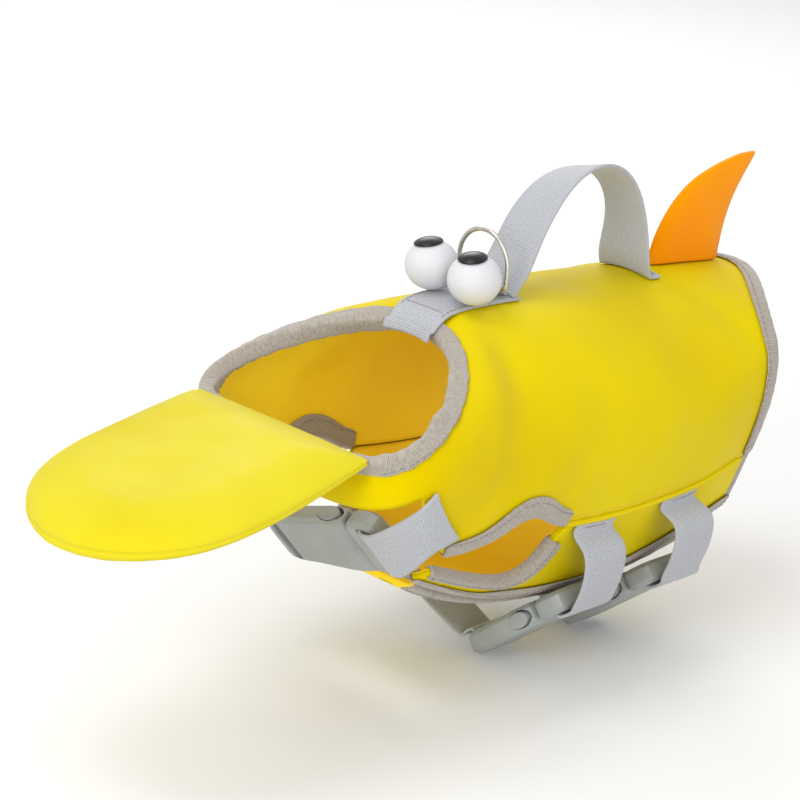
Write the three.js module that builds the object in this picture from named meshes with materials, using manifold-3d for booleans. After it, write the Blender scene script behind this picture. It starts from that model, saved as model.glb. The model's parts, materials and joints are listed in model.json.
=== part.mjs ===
// A life jacket for a small dog, in millimetres, standing filled out as if worn.
// +X is the wearer's left, -Y points to its nose and +Z is up.
// The origin is inside the back panel, on the spine, where the wearer's back holds the jacket up.
// Every cloth piece is worked out from one table of sections round the body.
import * as THREE from 'three';
import { mergeVertices } from 'three/addons/utils/BufferGeometryUtils.js';
import Module from 'manifold-3d';

// Cloth and tape sizes
const FOAM_WALL = 6;
const CHIN_WALL = 3.2;
const BELLY_WALL = 4;
const GAP = 0.35;
const TAPE_GAP = 0.65;
const TAPE_WIDTH = 9;
const NECK_TAPE_WIDTH = 7.5;
const TAPE_STEPS = 6;
const TAPE_THICK = 1;
const WEB_THICK = 1.6;
const HANDLE_WEB = 34;
const BELT_WEB = 32;
const SOCKET_WEB = 27;

// Places along the body, in section numbers: 0 is the neck, 6 the hem and -1 the lip in front of the neck.
const FIRST_SECTION = -1;
const NECK_EDGE = -1;
const YOKE_EDGE = 1;
const HEM_EDGE = 6;
const KEEL = 1;

// Sections round the outside of the body. spine, flank and keel are its top, widest and lowest points,
// boxy squares the lower half and tail lets the hem reach back over the spine.
const SECTIONS = [
  { name: 'lip', spineY: -97, spineZ: -1, flankX: 74.5, flankY: -168.5, flankZ: -29.5, keelY: -191.5, keelZ: -40, boxy: 0.52, tail: 0 },
  { name: 'neck', spineY: -94, spineZ: 3, flankX: 80.5, flankY: -160.5, flankZ: -32.5, keelY: -189.5, keelZ: -46, boxy: 0.56, tail: 0 },
  { name: 'yoke', spineY: -83, spineZ: 9.5, flankX: 86, flankY: -151, flankZ: -45, keelY: -194, keelZ: -65, boxy: 0.5, tail: 0 },
  { name: 'chest', spineY: -60, spineZ: 10, flankX: 87, flankY: -110, flankZ: -62, keelY: -165, keelZ: -110, boxy: 0.4, tail: 0 },
  { name: 'girth', spineY: -22, spineZ: 7.5, flankX: 87, flankY: -50, flankZ: -68, keelY: -100, keelZ: -144, boxy: 0.45, tail: 0 },
  { name: 'waist', spineY: 36, spineZ: 5, flankX: 85, flankY: 11, flankZ: -70, keelY: -16, keelZ: -156, boxy: 0.5, tail: 4 },
  { name: 'loin', spineY: 88, spineZ: 1, flankX: 82, flankY: 66, flankZ: -66, keelY: 48, keelZ: -155, boxy: 0.5, tail: 16 },
  { name: 'hem', spineY: 128, spineZ: -6, flankX: 77, flankY: 115.5, flankZ: -54, keelY: 103, keelZ: -150, boxy: 0.5, tail: 38 },
];
// How finely the back panel is divided
const PANEL_COLUMNS = 28;
const YOKE_ROWS = 4;
const YOKE_FRONT_COLUMNS = 7;
const SEAM_ROWS = 12;

const COLUMNS = ['spineY', 'spineZ', 'flankX', 'flankY', 'flankZ', 'keelY', 'keelZ', 'boxy', 'tail'];

// The largest soft folds: a crest stands out and a trough sinks in, on both sides or on one.
const FOLDS = [
  { side: 0, around: 0.3, along: 0.75, wideAround: 0.14, wideAlong: 0.3, height: 2 },
  { side: 0, around: 0.34, along: 1.7, wideAround: 0.16, wideAlong: 0.35, height: -2 },
  { side: 1, around: 0.4, along: 3.2, wideAround: 0.14, wideAlong: 0.28, height: -1.8 },
  { side: 1, around: 0.3, along: 4.6, wideAround: 0.16, wideAlong: 0.3, height: -1.5 },
  { side: -1, around: 0.42, along: 2.8, wideAround: 0.16, wideAlong: 0.3, height: -1.8 },
  { side: -1, around: 0.3, along: 4.3, wideAround: 0.15, wideAlong: 0.35, height: -1.6 },
];

// The side outline of the back panel, seen from the wearer's left.
const SEAM_START = 3.07;
const FRONT_CORNER = { y: -142, z: -96 };
const ARMHOLE_ARCH = [
  { y: -128, z: -94.5 },
  { y: -115, z: -91 },
  { y: -106, z: -86.5 },
  { y: -98, z: -82.5 },
  { y: -89, z: -81.5 },
  { y: -80, z: -85 },
  { y: -71, z: -91 },
];
// The right side seam sits lower than the left one by this share of the way round.
const RIGHT_DROP = 0.026;
const SEAM_AROUND = [
  { along: 3.1, around: 0.612 },
  { along: 4.4, around: 0.62 },
  { along: 6, around: 0.66 },
];

// Edges of the belly pieces: upper is the armhole and seam edge, lower is the flap's free edge.
// far is where the long right panel ends on the left of the keel, and bow hollows its front edge.
const BELLY_EDGES = [
  { upperAlong: 2.2, upper: 0.782, lowerAlong: 2.2, lower: 0.83, farAlong: 2.4, far: 0.868, bow: 0.45 },
  { upperAlong: 2.38, upper: 0.778, lowerAlong: 2.38, lower: 0.828, farAlong: 2.52, far: 0.875, bow: 0.38 },
  { upperAlong: 2.56, upper: 0.778, lowerAlong: 2.56, lower: 0.828, farAlong: 2.66, far: 0.88, bow: 0.31 },
  { upperAlong: 2.74, upper: 0.779, lowerAlong: 2.72, lower: 0.83, farAlong: 2.8, far: 0.885, bow: 0.24 },
  { upperAlong: 2.9, upper: 0.778, lowerAlong: 2.86, lower: 0.833, farAlong: 2.94, far: 0.89, bow: 0.18 },
  { upperAlong: 3.02, upper: 0.771, lowerAlong: 2.98, lower: 0.835, farAlong: 3.06, far: 0.892, bow: 0.13 },
  { upperAlong: 3.1, upper: 0.752, lowerAlong: 3.08, lower: 0.837, farAlong: 3.17, far: 0.893, bow: 0.09 },
  { upperAlong: 3.125, upper: 0.725, lowerAlong: 3.18, lower: 0.838, farAlong: 3.28, far: 0.893, bow: 0.06 },
  { upperAlong: 3.12, upper: 0.69, lowerAlong: 3.3, lower: 0.839, farAlong: 3.4, far: 0.892, bow: 0.03 },
  { upperAlong: 3.1, upper: 0.655, lowerAlong: 3.45, lower: 0.84, farAlong: 3.56, far: 0.89, bow: 0 },
  { upperAlong: 3.12, upper: 0.6145, lowerAlong: 3.65, lower: 0.84, farAlong: 3.74, far: 0.888, bow: 0 },
  { upperAlong: 3.45, upper: 0.617, lowerAlong: 3.88, lower: 0.838, farAlong: 3.96, far: 0.885, bow: 0 },
  { upperAlong: 3.85, upper: 0.6195, lowerAlong: 4.15, lower: 0.832, farAlong: 4.22, far: 0.882, bow: 0 },
  { upperAlong: 4.3, upper: 0.6225, lowerAlong: 4.5, lower: 0.815, farAlong: 4.54, far: 0.878, bow: 0 },
  { upperAlong: 4.8, upper: 0.6325, lowerAlong: 4.9, lower: 0.8, farAlong: 4.9, far: 0.874, bow: 0 },
  { upperAlong: 5.4, upper: 0.6475, lowerAlong: 5.45, lower: 0.793, farAlong: 5.45, far: 0.87, bow: 0 },
  { upperAlong: 6, upper: 0.6625, lowerAlong: 6, lower: 0.79, farAlong: 6, far: 0.868, bow: 0 },
];

const RIGHT_PANEL_SAG = 2;

// Spine webbing, handle and ring
const SPINE_WEB_END = -36;
const HANDLE_ARCH = [
  { y: -37.5, z: 15.4, half: 16.5, lean: 0 },
  { y: -32.5, z: 19, half: 16.5, lean: 0 },
  { y: -28, z: 25, half: 16, lean: 0.02 },
  { y: -23, z: 34, half: 15.5, lean: 0.04 },
  { y: -15.5, z: 46.5, half: 15.5, lean: 0.08 },
  { y: -3, z: 59.5, half: 15, lean: 0.16 },
  { y: 11, z: 67, half: 14.5, lean: 0.24 },
  { y: 27, z: 69.5, half: 14, lean: 0.28 },
  { y: 42, z: 66.5, half: 13.5, lean: 0.24 },
  { y: 55, z: 57.5, half: 13.5, lean: 0.16 },
  { y: 63.5, z: 43.5, half: 14, lean: 0.08 },
  { y: 66.5, z: 28, half: 16, lean: 0.03 },
  { y: 66.5, z: 18, half: 18, lean: 0 },
  { y: 67, z: 11, half: 19, lean: 0 },
];
const HANDLE_FRONT_FOOT = [-42.5, -40.5];
const HANDLE_REAR_FOOT = [69, 73, 78];
const HANDLE_REAR_HALF = 19;
const BACK_CROWN = 0.0052;
const RING = { y: -50, wire: 1.5, half: 17.7, height: 31 };
const KEEPER = { width: 26, foot: 6.8, wall: 1.4, clear: 0.5 };

// Eyes, beak and fin
const EYE = { radius: 15, squash: 0.92, along: 1.52, left: 0.0515, right: -0.048, pupil: 8.2, pupilThick: 1.2 };
const BEAK = [
  { reach: 0, half: 64, z: -37.5, thick: 9 },
  { reach: 13, half: 65.5, z: -40.5, thick: 12 },
  { reach: 32, half: 66.5, z: -45, thick: 15 },
  { reach: 55, half: 67.3, z: -50, thick: 16.5 },
  { reach: 78, half: 67, z: -54, thick: 17 },
  { reach: 96, half: 63.5, z: -57, thick: 17 },
  { reach: 111, half: 57, z: -59.5, thick: 16.5 },
  { reach: 124, half: 46, z: -61.5, thick: 15.5 },
  { reach: 133, half: 34, z: -63, thick: 14 },
  { reach: 138.5, half: 21, z: -64, thick: 11 },
  { reach: 141.5, half: 9, z: -64.8, thick: 7 },
];
const BEAK_ROOT_Y = -194.2;
const FIN = [
  { z: 0, front: 88, back: 150, thick: 7 },
  { z: 9, front: 89.5, back: 151.5, thick: 7.5 },
  { z: 18, front: 92.5, back: 153.5, thick: 7.5 },
  { z: 28, front: 98.5, back: 157, thick: 7 },
  { z: 37, front: 106, back: 162, thick: 6.2 },
  { z: 45, front: 116.5, back: 168, thick: 5.2 },
  { z: 51, front: 129, back: 173, thick: 4.2 },
  { z: 55, front: 145, back: 176.5, thick: 3.4 },
  { z: 57.5, front: 160, back: 176.8, thick: 2.6 },
];

// Buckles: the plug is on the wearer's left, the socket on its right.
const BUCKLE = { width: 42, thick: 13, left: 42, mouth: 20, right: -42 };
const BELT_SLOPE = THREE.MathUtils.degToRad(38.5);
const CHEST_SLOPE = THREE.MathUtils.degToRad(14);
const BUCKLES = {
  chest: { centre: [13, -159, -101.5], along: [Math.cos(CHEST_SLOPE), 0, Math.sin(CHEST_SLOPE)], out: [0, -0.8, -0.6] },
  front: { centre: [42.5, -32, -169], along: [Math.cos(BELT_SLOPE), 0, Math.sin(BELT_SLOPE)], out: [0.62, 0, -0.78] },
  rear: { centre: [43, 42, -170.5], along: [Math.cos(BELT_SLOPE), 0, Math.sin(BELT_SLOPE)], out: [0.62, 0, -0.78] },
};
const BELTS = {
  front: { y: -34, yLow: -32 },
  rear: { y: 40, yLow: 42 },
};

const FINISHES = {
  shell: { color: 0xf2dc0a, roughness: 0.75 },
  foam: { color: 0xf8ec38, roughness: 0.7 },
  orange: { color: 0xff9800, roughness: 0.7 },
  tape: { color: 0xa5a09a, roughness: 0.85 },
  webbing: { color: 0xb2b2ba, roughness: 0.8 },
  plastic: { color: 0xc2c6c5, roughness: 0.45 },
  white: { color: 0xf2f2f4, roughness: 0.6 },
  black: { color: 0x0a0a0c, roughness: 0.35 },
  steel: { color: 0xc8c4bc, roughness: 0.3, metalness: 1 },
};

const wasm = await Module();
wasm.setup();

const group = new THREE.Group();

function addPiece(name, geometry, finish) {
  const mesh = new THREE.Mesh(geometry, new THREE.MeshStandardMaterial(FINISHES[finish]));
  mesh.name = name;
  group.add(mesh);
  return mesh;
}

// Curves through table rows

function smoothStep(t) {
  const u = THREE.MathUtils.clamp(t, 0, 1);
  return u * u * (3 - 2 * u);
}

function tableValue(rows, key, column, at) {
  const last = rows.length - 1;
  let i = 0;
  while (i < last - 1 && rows[i + 1][key] < at) i += 1;
  const t = (at - rows[i][key]) / (rows[i + 1][key] - rows[i][key]);
  return THREE.MathUtils.lerp(rows[i][column], rows[i + 1][column], t);
}

function sectionAt(along) {
  const last = SECTIONS.length - 1;
  const from = along - FIRST_SECTION;
  const i = THREE.MathUtils.clamp(Math.floor(from), 0, last - 1);
  const t = from - i;
  const row = {};
  for (const column of COLUMNS) {
    const b = SECTIONS[i][column];
    const c = SECTIONS[i + 1][column];
    const a = i > 0 ? SECTIONS[i - 1][column] : 2 * b - c;
    const d = i + 2 <= last ? SECTIONS[i + 2][column] : 2 * c - b;
    row[column] = b + 0.5 * t * (c - a + t * (2 * a - 5 * b + 4 * c - d + t * (3 * (b - c) + d - a)));
  }
  return row;
}

// The body surface: around is 0 on the spine, 1 on the keel, positive on the wearer's left.

function wrapAround(around) {
  if (around > KEEL) return around - 2 * KEEL;
  if (around < -KEEL) return around + 2 * KEEL;
  return around;
}

function bodyPoint(aroundIn, along) {
  const around = wrapAround(aroundIn);
  const row = sectionAt(along);
  const angle = Math.abs(around) * Math.PI;
  const c = Math.cos(angle);
  const sine = Math.abs(Math.sin(angle));
  const through = (top, middle, low) => middle + (c * (top - low)) / 2 + c * c * ((top + low) / 2 - middle);
  return new THREE.Vector3(
    Math.sign(around) * row.flankX * sine ** (1 - row.boxy * Math.max(0, -c)),
    through(row.spineY, row.flankY, row.keelY) + row.tail * Math.max(0, c) ** 5,
    through(row.spineZ, row.flankZ, row.keelZ),
  );
}

function bodySlopes(around, along) {
  const step = 0.004;
  const acrossStep = bodyPoint(around + step, along).sub(bodyPoint(around - step, along)).divideScalar(2 * step);
  const alongStep = bodyPoint(around, along + step).sub(bodyPoint(around, along - step)).divideScalar(2 * step);
  return { acrossStep, alongStep };
}

function bodyNormal(around, along) {
  const { acrossStep, alongStep } = bodySlopes(around, along);
  return acrossStep.cross(alongStep).normalize();
}

function foldHeight(aroundIn, along) {
  const around = wrapAround(aroundIn);
  let height = 0;
  for (const fold of FOLDS) {
    if (fold.side !== 0 && fold.side !== Math.sign(around)) continue;
    const a = (Math.abs(around) - fold.around) / fold.wideAround;
    const b = (along - fold.along) / fold.wideAlong;
    height += fold.height * Math.exp(-a * a - b * b);
  }
  return height;
}

function onBody(around, along, out = 0) {
  const lift = foldHeight(around, along) + out;
  return bodyPoint(around, along).addScaledVector(bodyNormal(around, along), lift);
}

// Moves a place on the body by a short 3D step that lies in the surface.
function stepOnBody(place, step) {
  const { acrossStep, alongStep } = bodySlopes(place.around, place.along);
  const aa = acrossStep.dot(acrossStep);
  const ab = acrossStep.dot(alongStep);
  const bb = alongStep.dot(alongStep);
  const pa = acrossStep.dot(step);
  const pb = alongStep.dot(step);
  const det = aa * bb - ab * ab;
  return { around: place.around + (pa * bb - pb * ab) / det, along: place.along + (pb * aa - pa * ab) / det };
}

// The place on the wearer's left that a side view shows at y, z.
function placeFromSide(spot, start) {
  let place = { ...start };
  for (let turn = 0; turn < 30; turn += 1) {
    const point = bodyPoint(place.around, place.along);
    const { acrossStep, alongStep } = bodySlopes(place.around, place.along);
    const dy = spot.y - point.y;
    const dz = spot.z - point.z;
    const det = acrossStep.y * alongStep.z - alongStep.y * acrossStep.z;
    place = {
      around: place.around + 0.7 * (dy * alongStep.z - dz * alongStep.y) / det,
      along: place.along + 0.7 * (dz * acrossStep.y - dy * acrossStep.z) / det,
    };
  }
  return place;
}

function alongAtY(around, y) {
  let low = NECK_EDGE;
  let high = HEM_EDGE;
  for (let turn = 0; turn < 40; turn += 1) {
    const middle = (low + high) / 2;
    if (bodyPoint(around, middle).y < y) low = middle;
    else high = middle;
  }
  return low;
}

function spineAlong(y) {
  return alongAtY(0, y);
}

function aroundAtWidth(x, along) {
  return Math.asin(x / sectionAt(along).flankX) / Math.PI;
}

// Closed solids from rows of points

function solidFromFaces(points, triangles) {
  const geometry = new THREE.BufferGeometry();
  geometry.setAttribute('position', new THREE.Float32BufferAttribute(points.flatMap((p) => [p.x, p.y, p.z]), 3));
  geometry.setIndex(triangles.flat());
  geometry.computeVertexNormals();
  return geometry;
}

// A cloth wall: outer and inner hold the same points on each face, and every open edge is closed over.
function wallFromQuads(outer, inner, quads) {
  const count = outer.length;
  const triangles = [];
  const open = new Map();
  for (const quad of quads) {
    const [a, b, c, d] = quad;
    triangles.push([a, b, c], [a, c, d]);
    triangles.push([count + a, count + c, count + b], [count + a, count + d, count + c]);
    for (let k = 0; k < 4; k += 1) {
      const from = quad[k];
      const to = quad[(k + 1) % 4];
      if (!open.delete(`${to} ${from}`)) open.set(`${from} ${to}`, [from, to]);
    }
  }
  for (const [from, to] of open.values()) {
    triangles.push([to, from, count + from], [to, count + from, count + to]);
  }
  return solidFromFaces([...outer, ...inner], triangles);
}

function gridQuads(rows, columns) {
  const quads = [];
  for (let i = 0; i + 1 < rows; i += 1) {
    for (let j = 0; j + 1 < columns; j += 1) {
      const a = i * columns + j;
      quads.push([a, a + 1, a + columns + 1, a + columns]);
    }
  }
  return quads;
}

function wallFromGrid(outerRows, innerRows) {
  return wallFromQuads(outerRows.flat(), innerRows.flat(), gridQuads(outerRows.length, outerRows[0].length));
}

// A solid lofted through closed sections that run anticlockwise seen from the end they start at.
function loft(sections, ring = false) {
  const size = sections[0].length;
  const points = sections.flat();
  const triangles = [];
  const spans = ring ? sections.length : sections.length - 1;
  for (let i = 0; i < spans; i += 1) {
    const here = i * size;
    const next = ((i + 1) % sections.length) * size;
    for (let j = 0; j < size; j += 1) {
      const k = (j + 1) % size;
      triangles.push([here + j, next + k, here + k], [here + j, next + j, next + k]);
    }
  }
  if (!ring) {
    for (const [start, flip] of [[0, false], [(sections.length - 1) * size, true]]) {
      const flat = flattenSection(sections[start / size]);
      for (const [a, b, c] of THREE.ShapeUtils.triangulateShape(flat, [])) {
        triangles.push(flip ? [start + a, start + c, start + b] : [start + a, start + b, start + c]);
      }
    }
  }
  return orient(solidFromFaces(points, triangles));
}

function flattenSection(section) {
  const origin = section[0];
  const normal = new THREE.Vector3();
  section.forEach((p, i) => {
    const q = section[(i + 1) % section.length];
    normal.add(p.clone().sub(origin).cross(q.clone().sub(origin)));
  });
  normal.normalize();
  const far = section.reduce((best, p) => (p.distanceTo(origin) > best.distanceTo(origin) ? p : best), section[0]);
  const across = far.clone().sub(origin).normalize();
  const up = normal.clone().cross(across);
  return section.map((p) => new THREE.Vector2(p.clone().sub(origin).dot(across), p.clone().sub(origin).dot(up)));
}

function orient(geometry) {
  const p = geometry.attributes.position;
  const index = geometry.index.array;
  const [a, b, c] = [new THREE.Vector3(), new THREE.Vector3(), new THREE.Vector3()];
  let volume = 0;
  for (let i = 0; i < index.length; i += 3) {
    a.fromBufferAttribute(p, index[i]);
    b.fromBufferAttribute(p, index[i + 1]);
    c.fromBufferAttribute(p, index[i + 2]);
    volume += a.dot(b.cross(c));
  }
  if (volume < 0) {
    for (let i = 0; i < index.length; i += 3) [index[i + 1], index[i + 2]] = [index[i + 2], index[i + 1]];
    geometry.computeVertexNormals();
  }
  return geometry;
}

// A flat strap through rows of points laid across it.
function strapThrough(rows, count, thick = WEB_THICK) {
  const columns = rows[0].length;
  const curves = [];
  for (let j = 0; j < columns; j += 1) curves.push(new THREE.CatmullRomCurve3(rows.map((row) => row[j]), false, 'centripetal'));
  const middle = [];
  for (let i = 0; i <= count; i += 1) middle.push(curves.map((curve) => curve.getPoint(i / count)));
  const face = (out) => middle.map((row, i) => row.map((point, j) => {
    const travel = middle[Math.min(i + 1, count)][j].clone().sub(middle[Math.max(i - 1, 0)][j]);
    const across = row[Math.min(j + 1, columns - 1)].clone().sub(row[Math.max(j - 1, 0)]);
    return point.clone().addScaledVector(across.cross(travel).normalize(), out);
  }));
  return orient(wallFromGrid(face(thick / 2), face(-thick / 2)));
}

function rowAcross(point, across, width, columns) {
  const row = [];
  for (let j = 0; j < columns; j += 1) row.push(point.clone().addScaledVector(across, width * (j / (columns - 1) - 0.5)));
  return row;
}

// Back panel: a ring round the neck, then a saddle down to the seams.

function backPanelRows() {
  const seamStart = { along: SEAM_START, around: seamAround(SEAM_START) };
  const corner = placeFromSide(FRONT_CORNER, { around: 0.66, along: 2 });
  const yokeAround = 0.615;
  const rows = [{ along: YOKE_EDGE, half: yokeAround }];
  for (const t of [0.25, 0.5, 0.75]) {
    rows.push({
      along: THREE.MathUtils.lerp(YOKE_EDGE, corner.along, t),
      half: THREE.MathUtils.lerp(yokeAround, corner.around, t),
    });
  }
  rows.push({ along: corner.along, half: corner.around });
  for (const spot of ARMHOLE_ARCH) {
    const place = placeFromSide(spot, { around: 0.6, along: 2.5 });
    rows.push({ along: place.along, half: place.around });
  }
  rows.push({ along: seamStart.along, half: seamStart.around });
  for (let i = 1; i <= SEAM_ROWS; i += 1) {
    const along = THREE.MathUtils.lerp(seamStart.along, HEM_EDGE, i / SEAM_ROWS);
    rows.push({ along, half: seamAround(along) });
  }
  const last = rows.length - 1;
  rows.forEach((row, i) => { row.spineAlong = THREE.MathUtils.lerp(YOKE_EDGE, HEM_EDGE, i / last); });
  return rows;
}

function seamAround(along) {
  return tableValue(SEAM_AROUND, 'along', 'around', along);
}

// A place on a panel row: share runs from -1 at the right edge to 1 at the left edge.
function rowPlace(row, share) {
  const reach = row.half + (share < 0 ? RIGHT_DROP : 0);
  return {
    around: share * reach,
    along: THREE.MathUtils.lerp(row.spineAlong, row.along, Math.abs(share) ** 1.5),
  };
}

const PANEL_ROWS = backPanelRows();

function columnShare(j) {
  return (2 * j) / PANEL_COLUMNS - 1;
}

// Columns of the neck ring: the saddle's own, then on round the front to the keel.
function neckColumns() {
  const first = PANEL_ROWS[0];
  const columns = [];
  for (let j = 0; j <= PANEL_COLUMNS; j += 1) columns.push(rowPlace(first, columnShare(j)).around);
  const left = [];
  const right = [];
  for (let i = 1; i < YOKE_FRONT_COLUMNS; i += 1) {
    left.push(THREE.MathUtils.lerp(first.half, KEEL, i / YOKE_FRONT_COLUMNS));
    right.push(-THREE.MathUtils.lerp(first.half + RIGHT_DROP, KEEL, i / YOKE_FRONT_COLUMNS));
  }
  return [...right.reverse(), ...columns, ...left, KEEL];
}

const NECK_COLUMNS = neckColumns();

// The panel thins where the ring runs under the wearer's chin.
function panelWall(place) {
  const front = smoothStep((Math.abs(place.around) - 0.6) / 0.14);
  const ring = smoothStep((YOKE_EDGE + 0.1 - place.along) / 0.5);
  return THREE.MathUtils.lerp(FOAM_WALL, CHIN_WALL, front * ring);
}

function backPanel() {
  const places = [];
  const quads = [];
  const ringSize = NECK_COLUMNS.length;
  for (let i = 0; i <= YOKE_ROWS; i += 1) {
    const along = THREE.MathUtils.lerp(NECK_EDGE, YOKE_EDGE, i / YOKE_ROWS);
    for (const around of NECK_COLUMNS) places.push({ around, along });
  }
  for (let i = 0; i < YOKE_ROWS; i += 1) {
    for (let j = 0; j < ringSize; j += 1) {
      const k = (j + 1) % ringSize;
      quads.push([i * ringSize + j, i * ringSize + k, (i + 1) * ringSize + k, (i + 1) * ringSize + j]);
    }
  }
  const firstColumn = YOKE_FRONT_COLUMNS - 1;
  let previous = [];
  for (let j = 0; j <= PANEL_COLUMNS; j += 1) previous.push(YOKE_ROWS * ringSize + firstColumn + j);
  for (const row of PANEL_ROWS.slice(1)) {
    const current = [];
    for (let j = 0; j <= PANEL_COLUMNS; j += 1) {
      current.push(places.length);
      places.push(rowPlace(row, columnShare(j)));
    }
    for (let j = 0; j < PANEL_COLUMNS; j += 1) {
      quads.push([previous[j], previous[j + 1], current[j + 1], current[j]]);
    }
    previous = current;
  }
  const outer = places.map((p) => onBody(p.around, p.along));
  const inner = places.map((p) => onBody(p.around, p.along, -panelWall(p)));
  return wallFromQuads(outer, inner, quads);
}

// Edge tape folded over a cloth edge. towards is +1 where the cloth lies left of the path's direction.
function edgeTape(path, { wall: wallAt, towards, ring = false, bends = false, width = () => TAPE_WIDTH, lift = () => 0 }) {
  const sections = path.map((place, i) => {
    const last = path.length - 1;
    const before = path[ring ? (i + last) % (last + 1) : Math.max(i - 1, 0)];
    const after = path[ring ? (i + 1) % (last + 1) : Math.min(i + 1, last)];
    const travel = bodyPoint(after.around, after.along).sub(bodyPoint(before.around, before.along)).normalize();
    const inward = bodyNormal(place.around, place.along).cross(travel).multiplyScalar(towards).normalize();
    const at = (distance, out) => {
      let spot = place;
      const step = inward.clone().multiplyScalar(distance / TAPE_STEPS);
      for (let n = 0; n < TAPE_STEPS; n += 1) spot = stepOnBody(spot, step);
      return onBody(spot.around, spot.along, out + lift(place));
    };
    const reach = width(place);
    const wall = wallAt(place);
    const skin = TAPE_GAP + TAPE_THICK;
    const outside = bends ? [at(reach, skin), at(reach * 0.7, skin), at(reach * 0.4, skin)] : [at(reach, skin)];
    const inside = bends ? [at(reach * 0.5, -wall - skin), at(reach, -wall - skin)] : [at(reach, -wall - skin)];
    const insideBack = bends ? [at(reach * 0.5, -wall - TAPE_GAP)] : [];
    const outsideBack = bends ? [at(reach * 0.4, TAPE_GAP), at(reach * 0.7, TAPE_GAP)] : [];
    return [
      ...outside,
      at(-TAPE_GAP - TAPE_THICK / 2, skin),
      at(-TAPE_GAP - TAPE_THICK, -wall / 2),
      at(-TAPE_GAP - TAPE_THICK / 2, -wall - skin),
      ...inside,
      at(reach, -wall - TAPE_GAP),
      ...insideBack,
      at(-TAPE_GAP, -wall - TAPE_GAP),
      at(-TAPE_GAP, TAPE_GAP),
      ...outsideBack,
      at(reach, TAPE_GAP),
    ];
  });
  return loft(sections, ring);
}

function neckTape() {
  const path = NECK_COLUMNS.map((around) => ({ around, along: NECK_EDGE }));
  return edgeTape(path, { wall: panelWall, towards: 1, ring: true, bends: true, width: () => NECK_TAPE_WIDTH });
}

function hemTape() {
  const hem = PANEL_ROWS[PANEL_ROWS.length - 1];
  const path = [];
  for (let j = 0; j <= PANEL_COLUMNS; j += 1) path.push(rowPlace(hem, columnShare(j)));
  return edgeTape(path, { wall: panelWall, towards: -1 });
}

function armholeTape(side) {
  const start = 4;
  const path = PANEL_ROWS.slice(start, start + ARMHOLE_ARCH.length + 2);
  const places = path.map((row) => rowPlace(row, side));
  return edgeTape(places, { wall: panelWall, towards: side, width: archTapeWidth });
}

function archTapeWidth(place) {
  const arch = (place.along - 2.5) / 0.3;
  return TAPE_WIDTH + 3.5 * Math.exp(-arch * arch);
}

// Belly: a short flap on the left over a long panel that comes under from the right.

function bellyWall(rows, lift) {
  const outer = rows.map((row) => row.map((p) => onBody(p.around, p.along, lift(p))));
  const inner = rows.map((row) => row.map((p) => onBody(p.around, p.along, lift(p) - BELLY_WALL)));
  return orient(wallFromGrid(outer, inner));
}

function leftFlapLift(place) {
  return 2 * smoothStep((wrapAround(place.around) - 0.66) / 0.14);
}

function leftFlapRows() {
  const columns = 5;
  return BELLY_EDGES.map((edge) => {
    const row = [];
    for (let j = 0; j <= columns; j += 1) {
      const around = THREE.MathUtils.lerp(edge.upper, edge.lower, j / columns);
      const along = THREE.MathUtils.lerp(edge.upperAlong, edge.lowerAlong, j / columns);
      row.push({ around, along });
    }
    return row;
  });
}

// The right panel runs from the right seam, under the keel and up towards the left flap.
function rightPanelLift(place) {
  const pastSeam = -place.around;
  const sag = smoothStep((pastSeam - 0.9) / 0.2) * smoothStep((place.along - 2.8) / 0.7);
  return 0.5 * smoothStep((pastSeam - 0.7) / 0.14) + RIGHT_PANEL_SAG * sag;
}

function rightPanelRows() {
  const columns = 11;
  return BELLY_EDGES.map((edge) => {
    const start = -edge.upper - RIGHT_DROP;
    const end = edge.far - 2 * KEEL;
    const row = [];
    for (let j = 0; j <= columns; j += 1) {
      const share = j / columns;
      const around = THREE.MathUtils.lerp(start, end, share);
      const along = THREE.MathUtils.lerp(edge.upperAlong, edge.farAlong, share) + edge.bow * 4 * share * (1 - share);
      row.push({ around, along });
    }
    return row;
  });
}

// The arm edge ends at the first row whose upper edge is on the side seam.
const ARM_ROWS = 10;

function bellyTapes() {
  const left = leftFlapRows();
  const right = rightPanelRows();
  const first = (row) => row[0];
  const last = (row) => row[row.length - 1];
  const leftTape = { wall: () => BELLY_WALL, lift: leftFlapLift, width: flapTapeWidth };
  const rightTape = { wall: () => BELLY_WALL, lift: rightPanelLift };
  addPiece('belly_arm_tape_left', edgeTape(left.slice(0, ARM_ROWS).map(first), { ...leftTape, towards: -1 }), 'tape');
  addPiece('belly_edge_tape_left', edgeTape(left.map(last), { ...leftTape, towards: 1 }), 'tape');
  addPiece('belly_arm_tape_right', edgeTape(right.slice(0, ARM_ROWS).map(first), { ...rightTape, towards: 1 }), 'tape');
  addPiece('belly_edge_tape_right', edgeTape(right.map(last), { ...rightTape, towards: -1 }), 'tape');
}

// Narrower where the flap's arm has little room for two tapes.
function flapTapeWidth(place) {
  return THREE.MathUtils.lerp(3.4, 8, smoothStep((place.along - 2.85) / 0.3));
}

// Beak and fin: foam tongues lofted from their tables

function beak() {
  const columns = 14;
  const top = [];
  const bottom = [];
  for (const row of BEAK) {
    const topRow = [];
    const bottomRow = [];
    for (let j = 0; j <= columns; j += 1) {
      const t = (2 * j) / columns - 1;
      const across = Math.sin((t * Math.PI) / 2);
      const swell = 0.16 + 0.84 * Math.sqrt(1 - Math.abs(across) ** 5);
      const rootCurve = 2.5 * Math.abs(across) ** 6 * Math.max(0, 1 - row.reach / 20);
      const x = row.half * across;
      const y = BEAK_ROOT_Y - row.reach + rootCurve;
      topRow.push(new THREE.Vector3(x, y, row.z + (row.thick / 2) * swell));
      bottomRow.push(new THREE.Vector3(x, y, row.z - (row.thick / 2) * swell));
    }
    top.push(topRow);
    bottom.push(bottomRow);
  }
  return orient(wallFromGrid(top, bottom));
}

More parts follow.
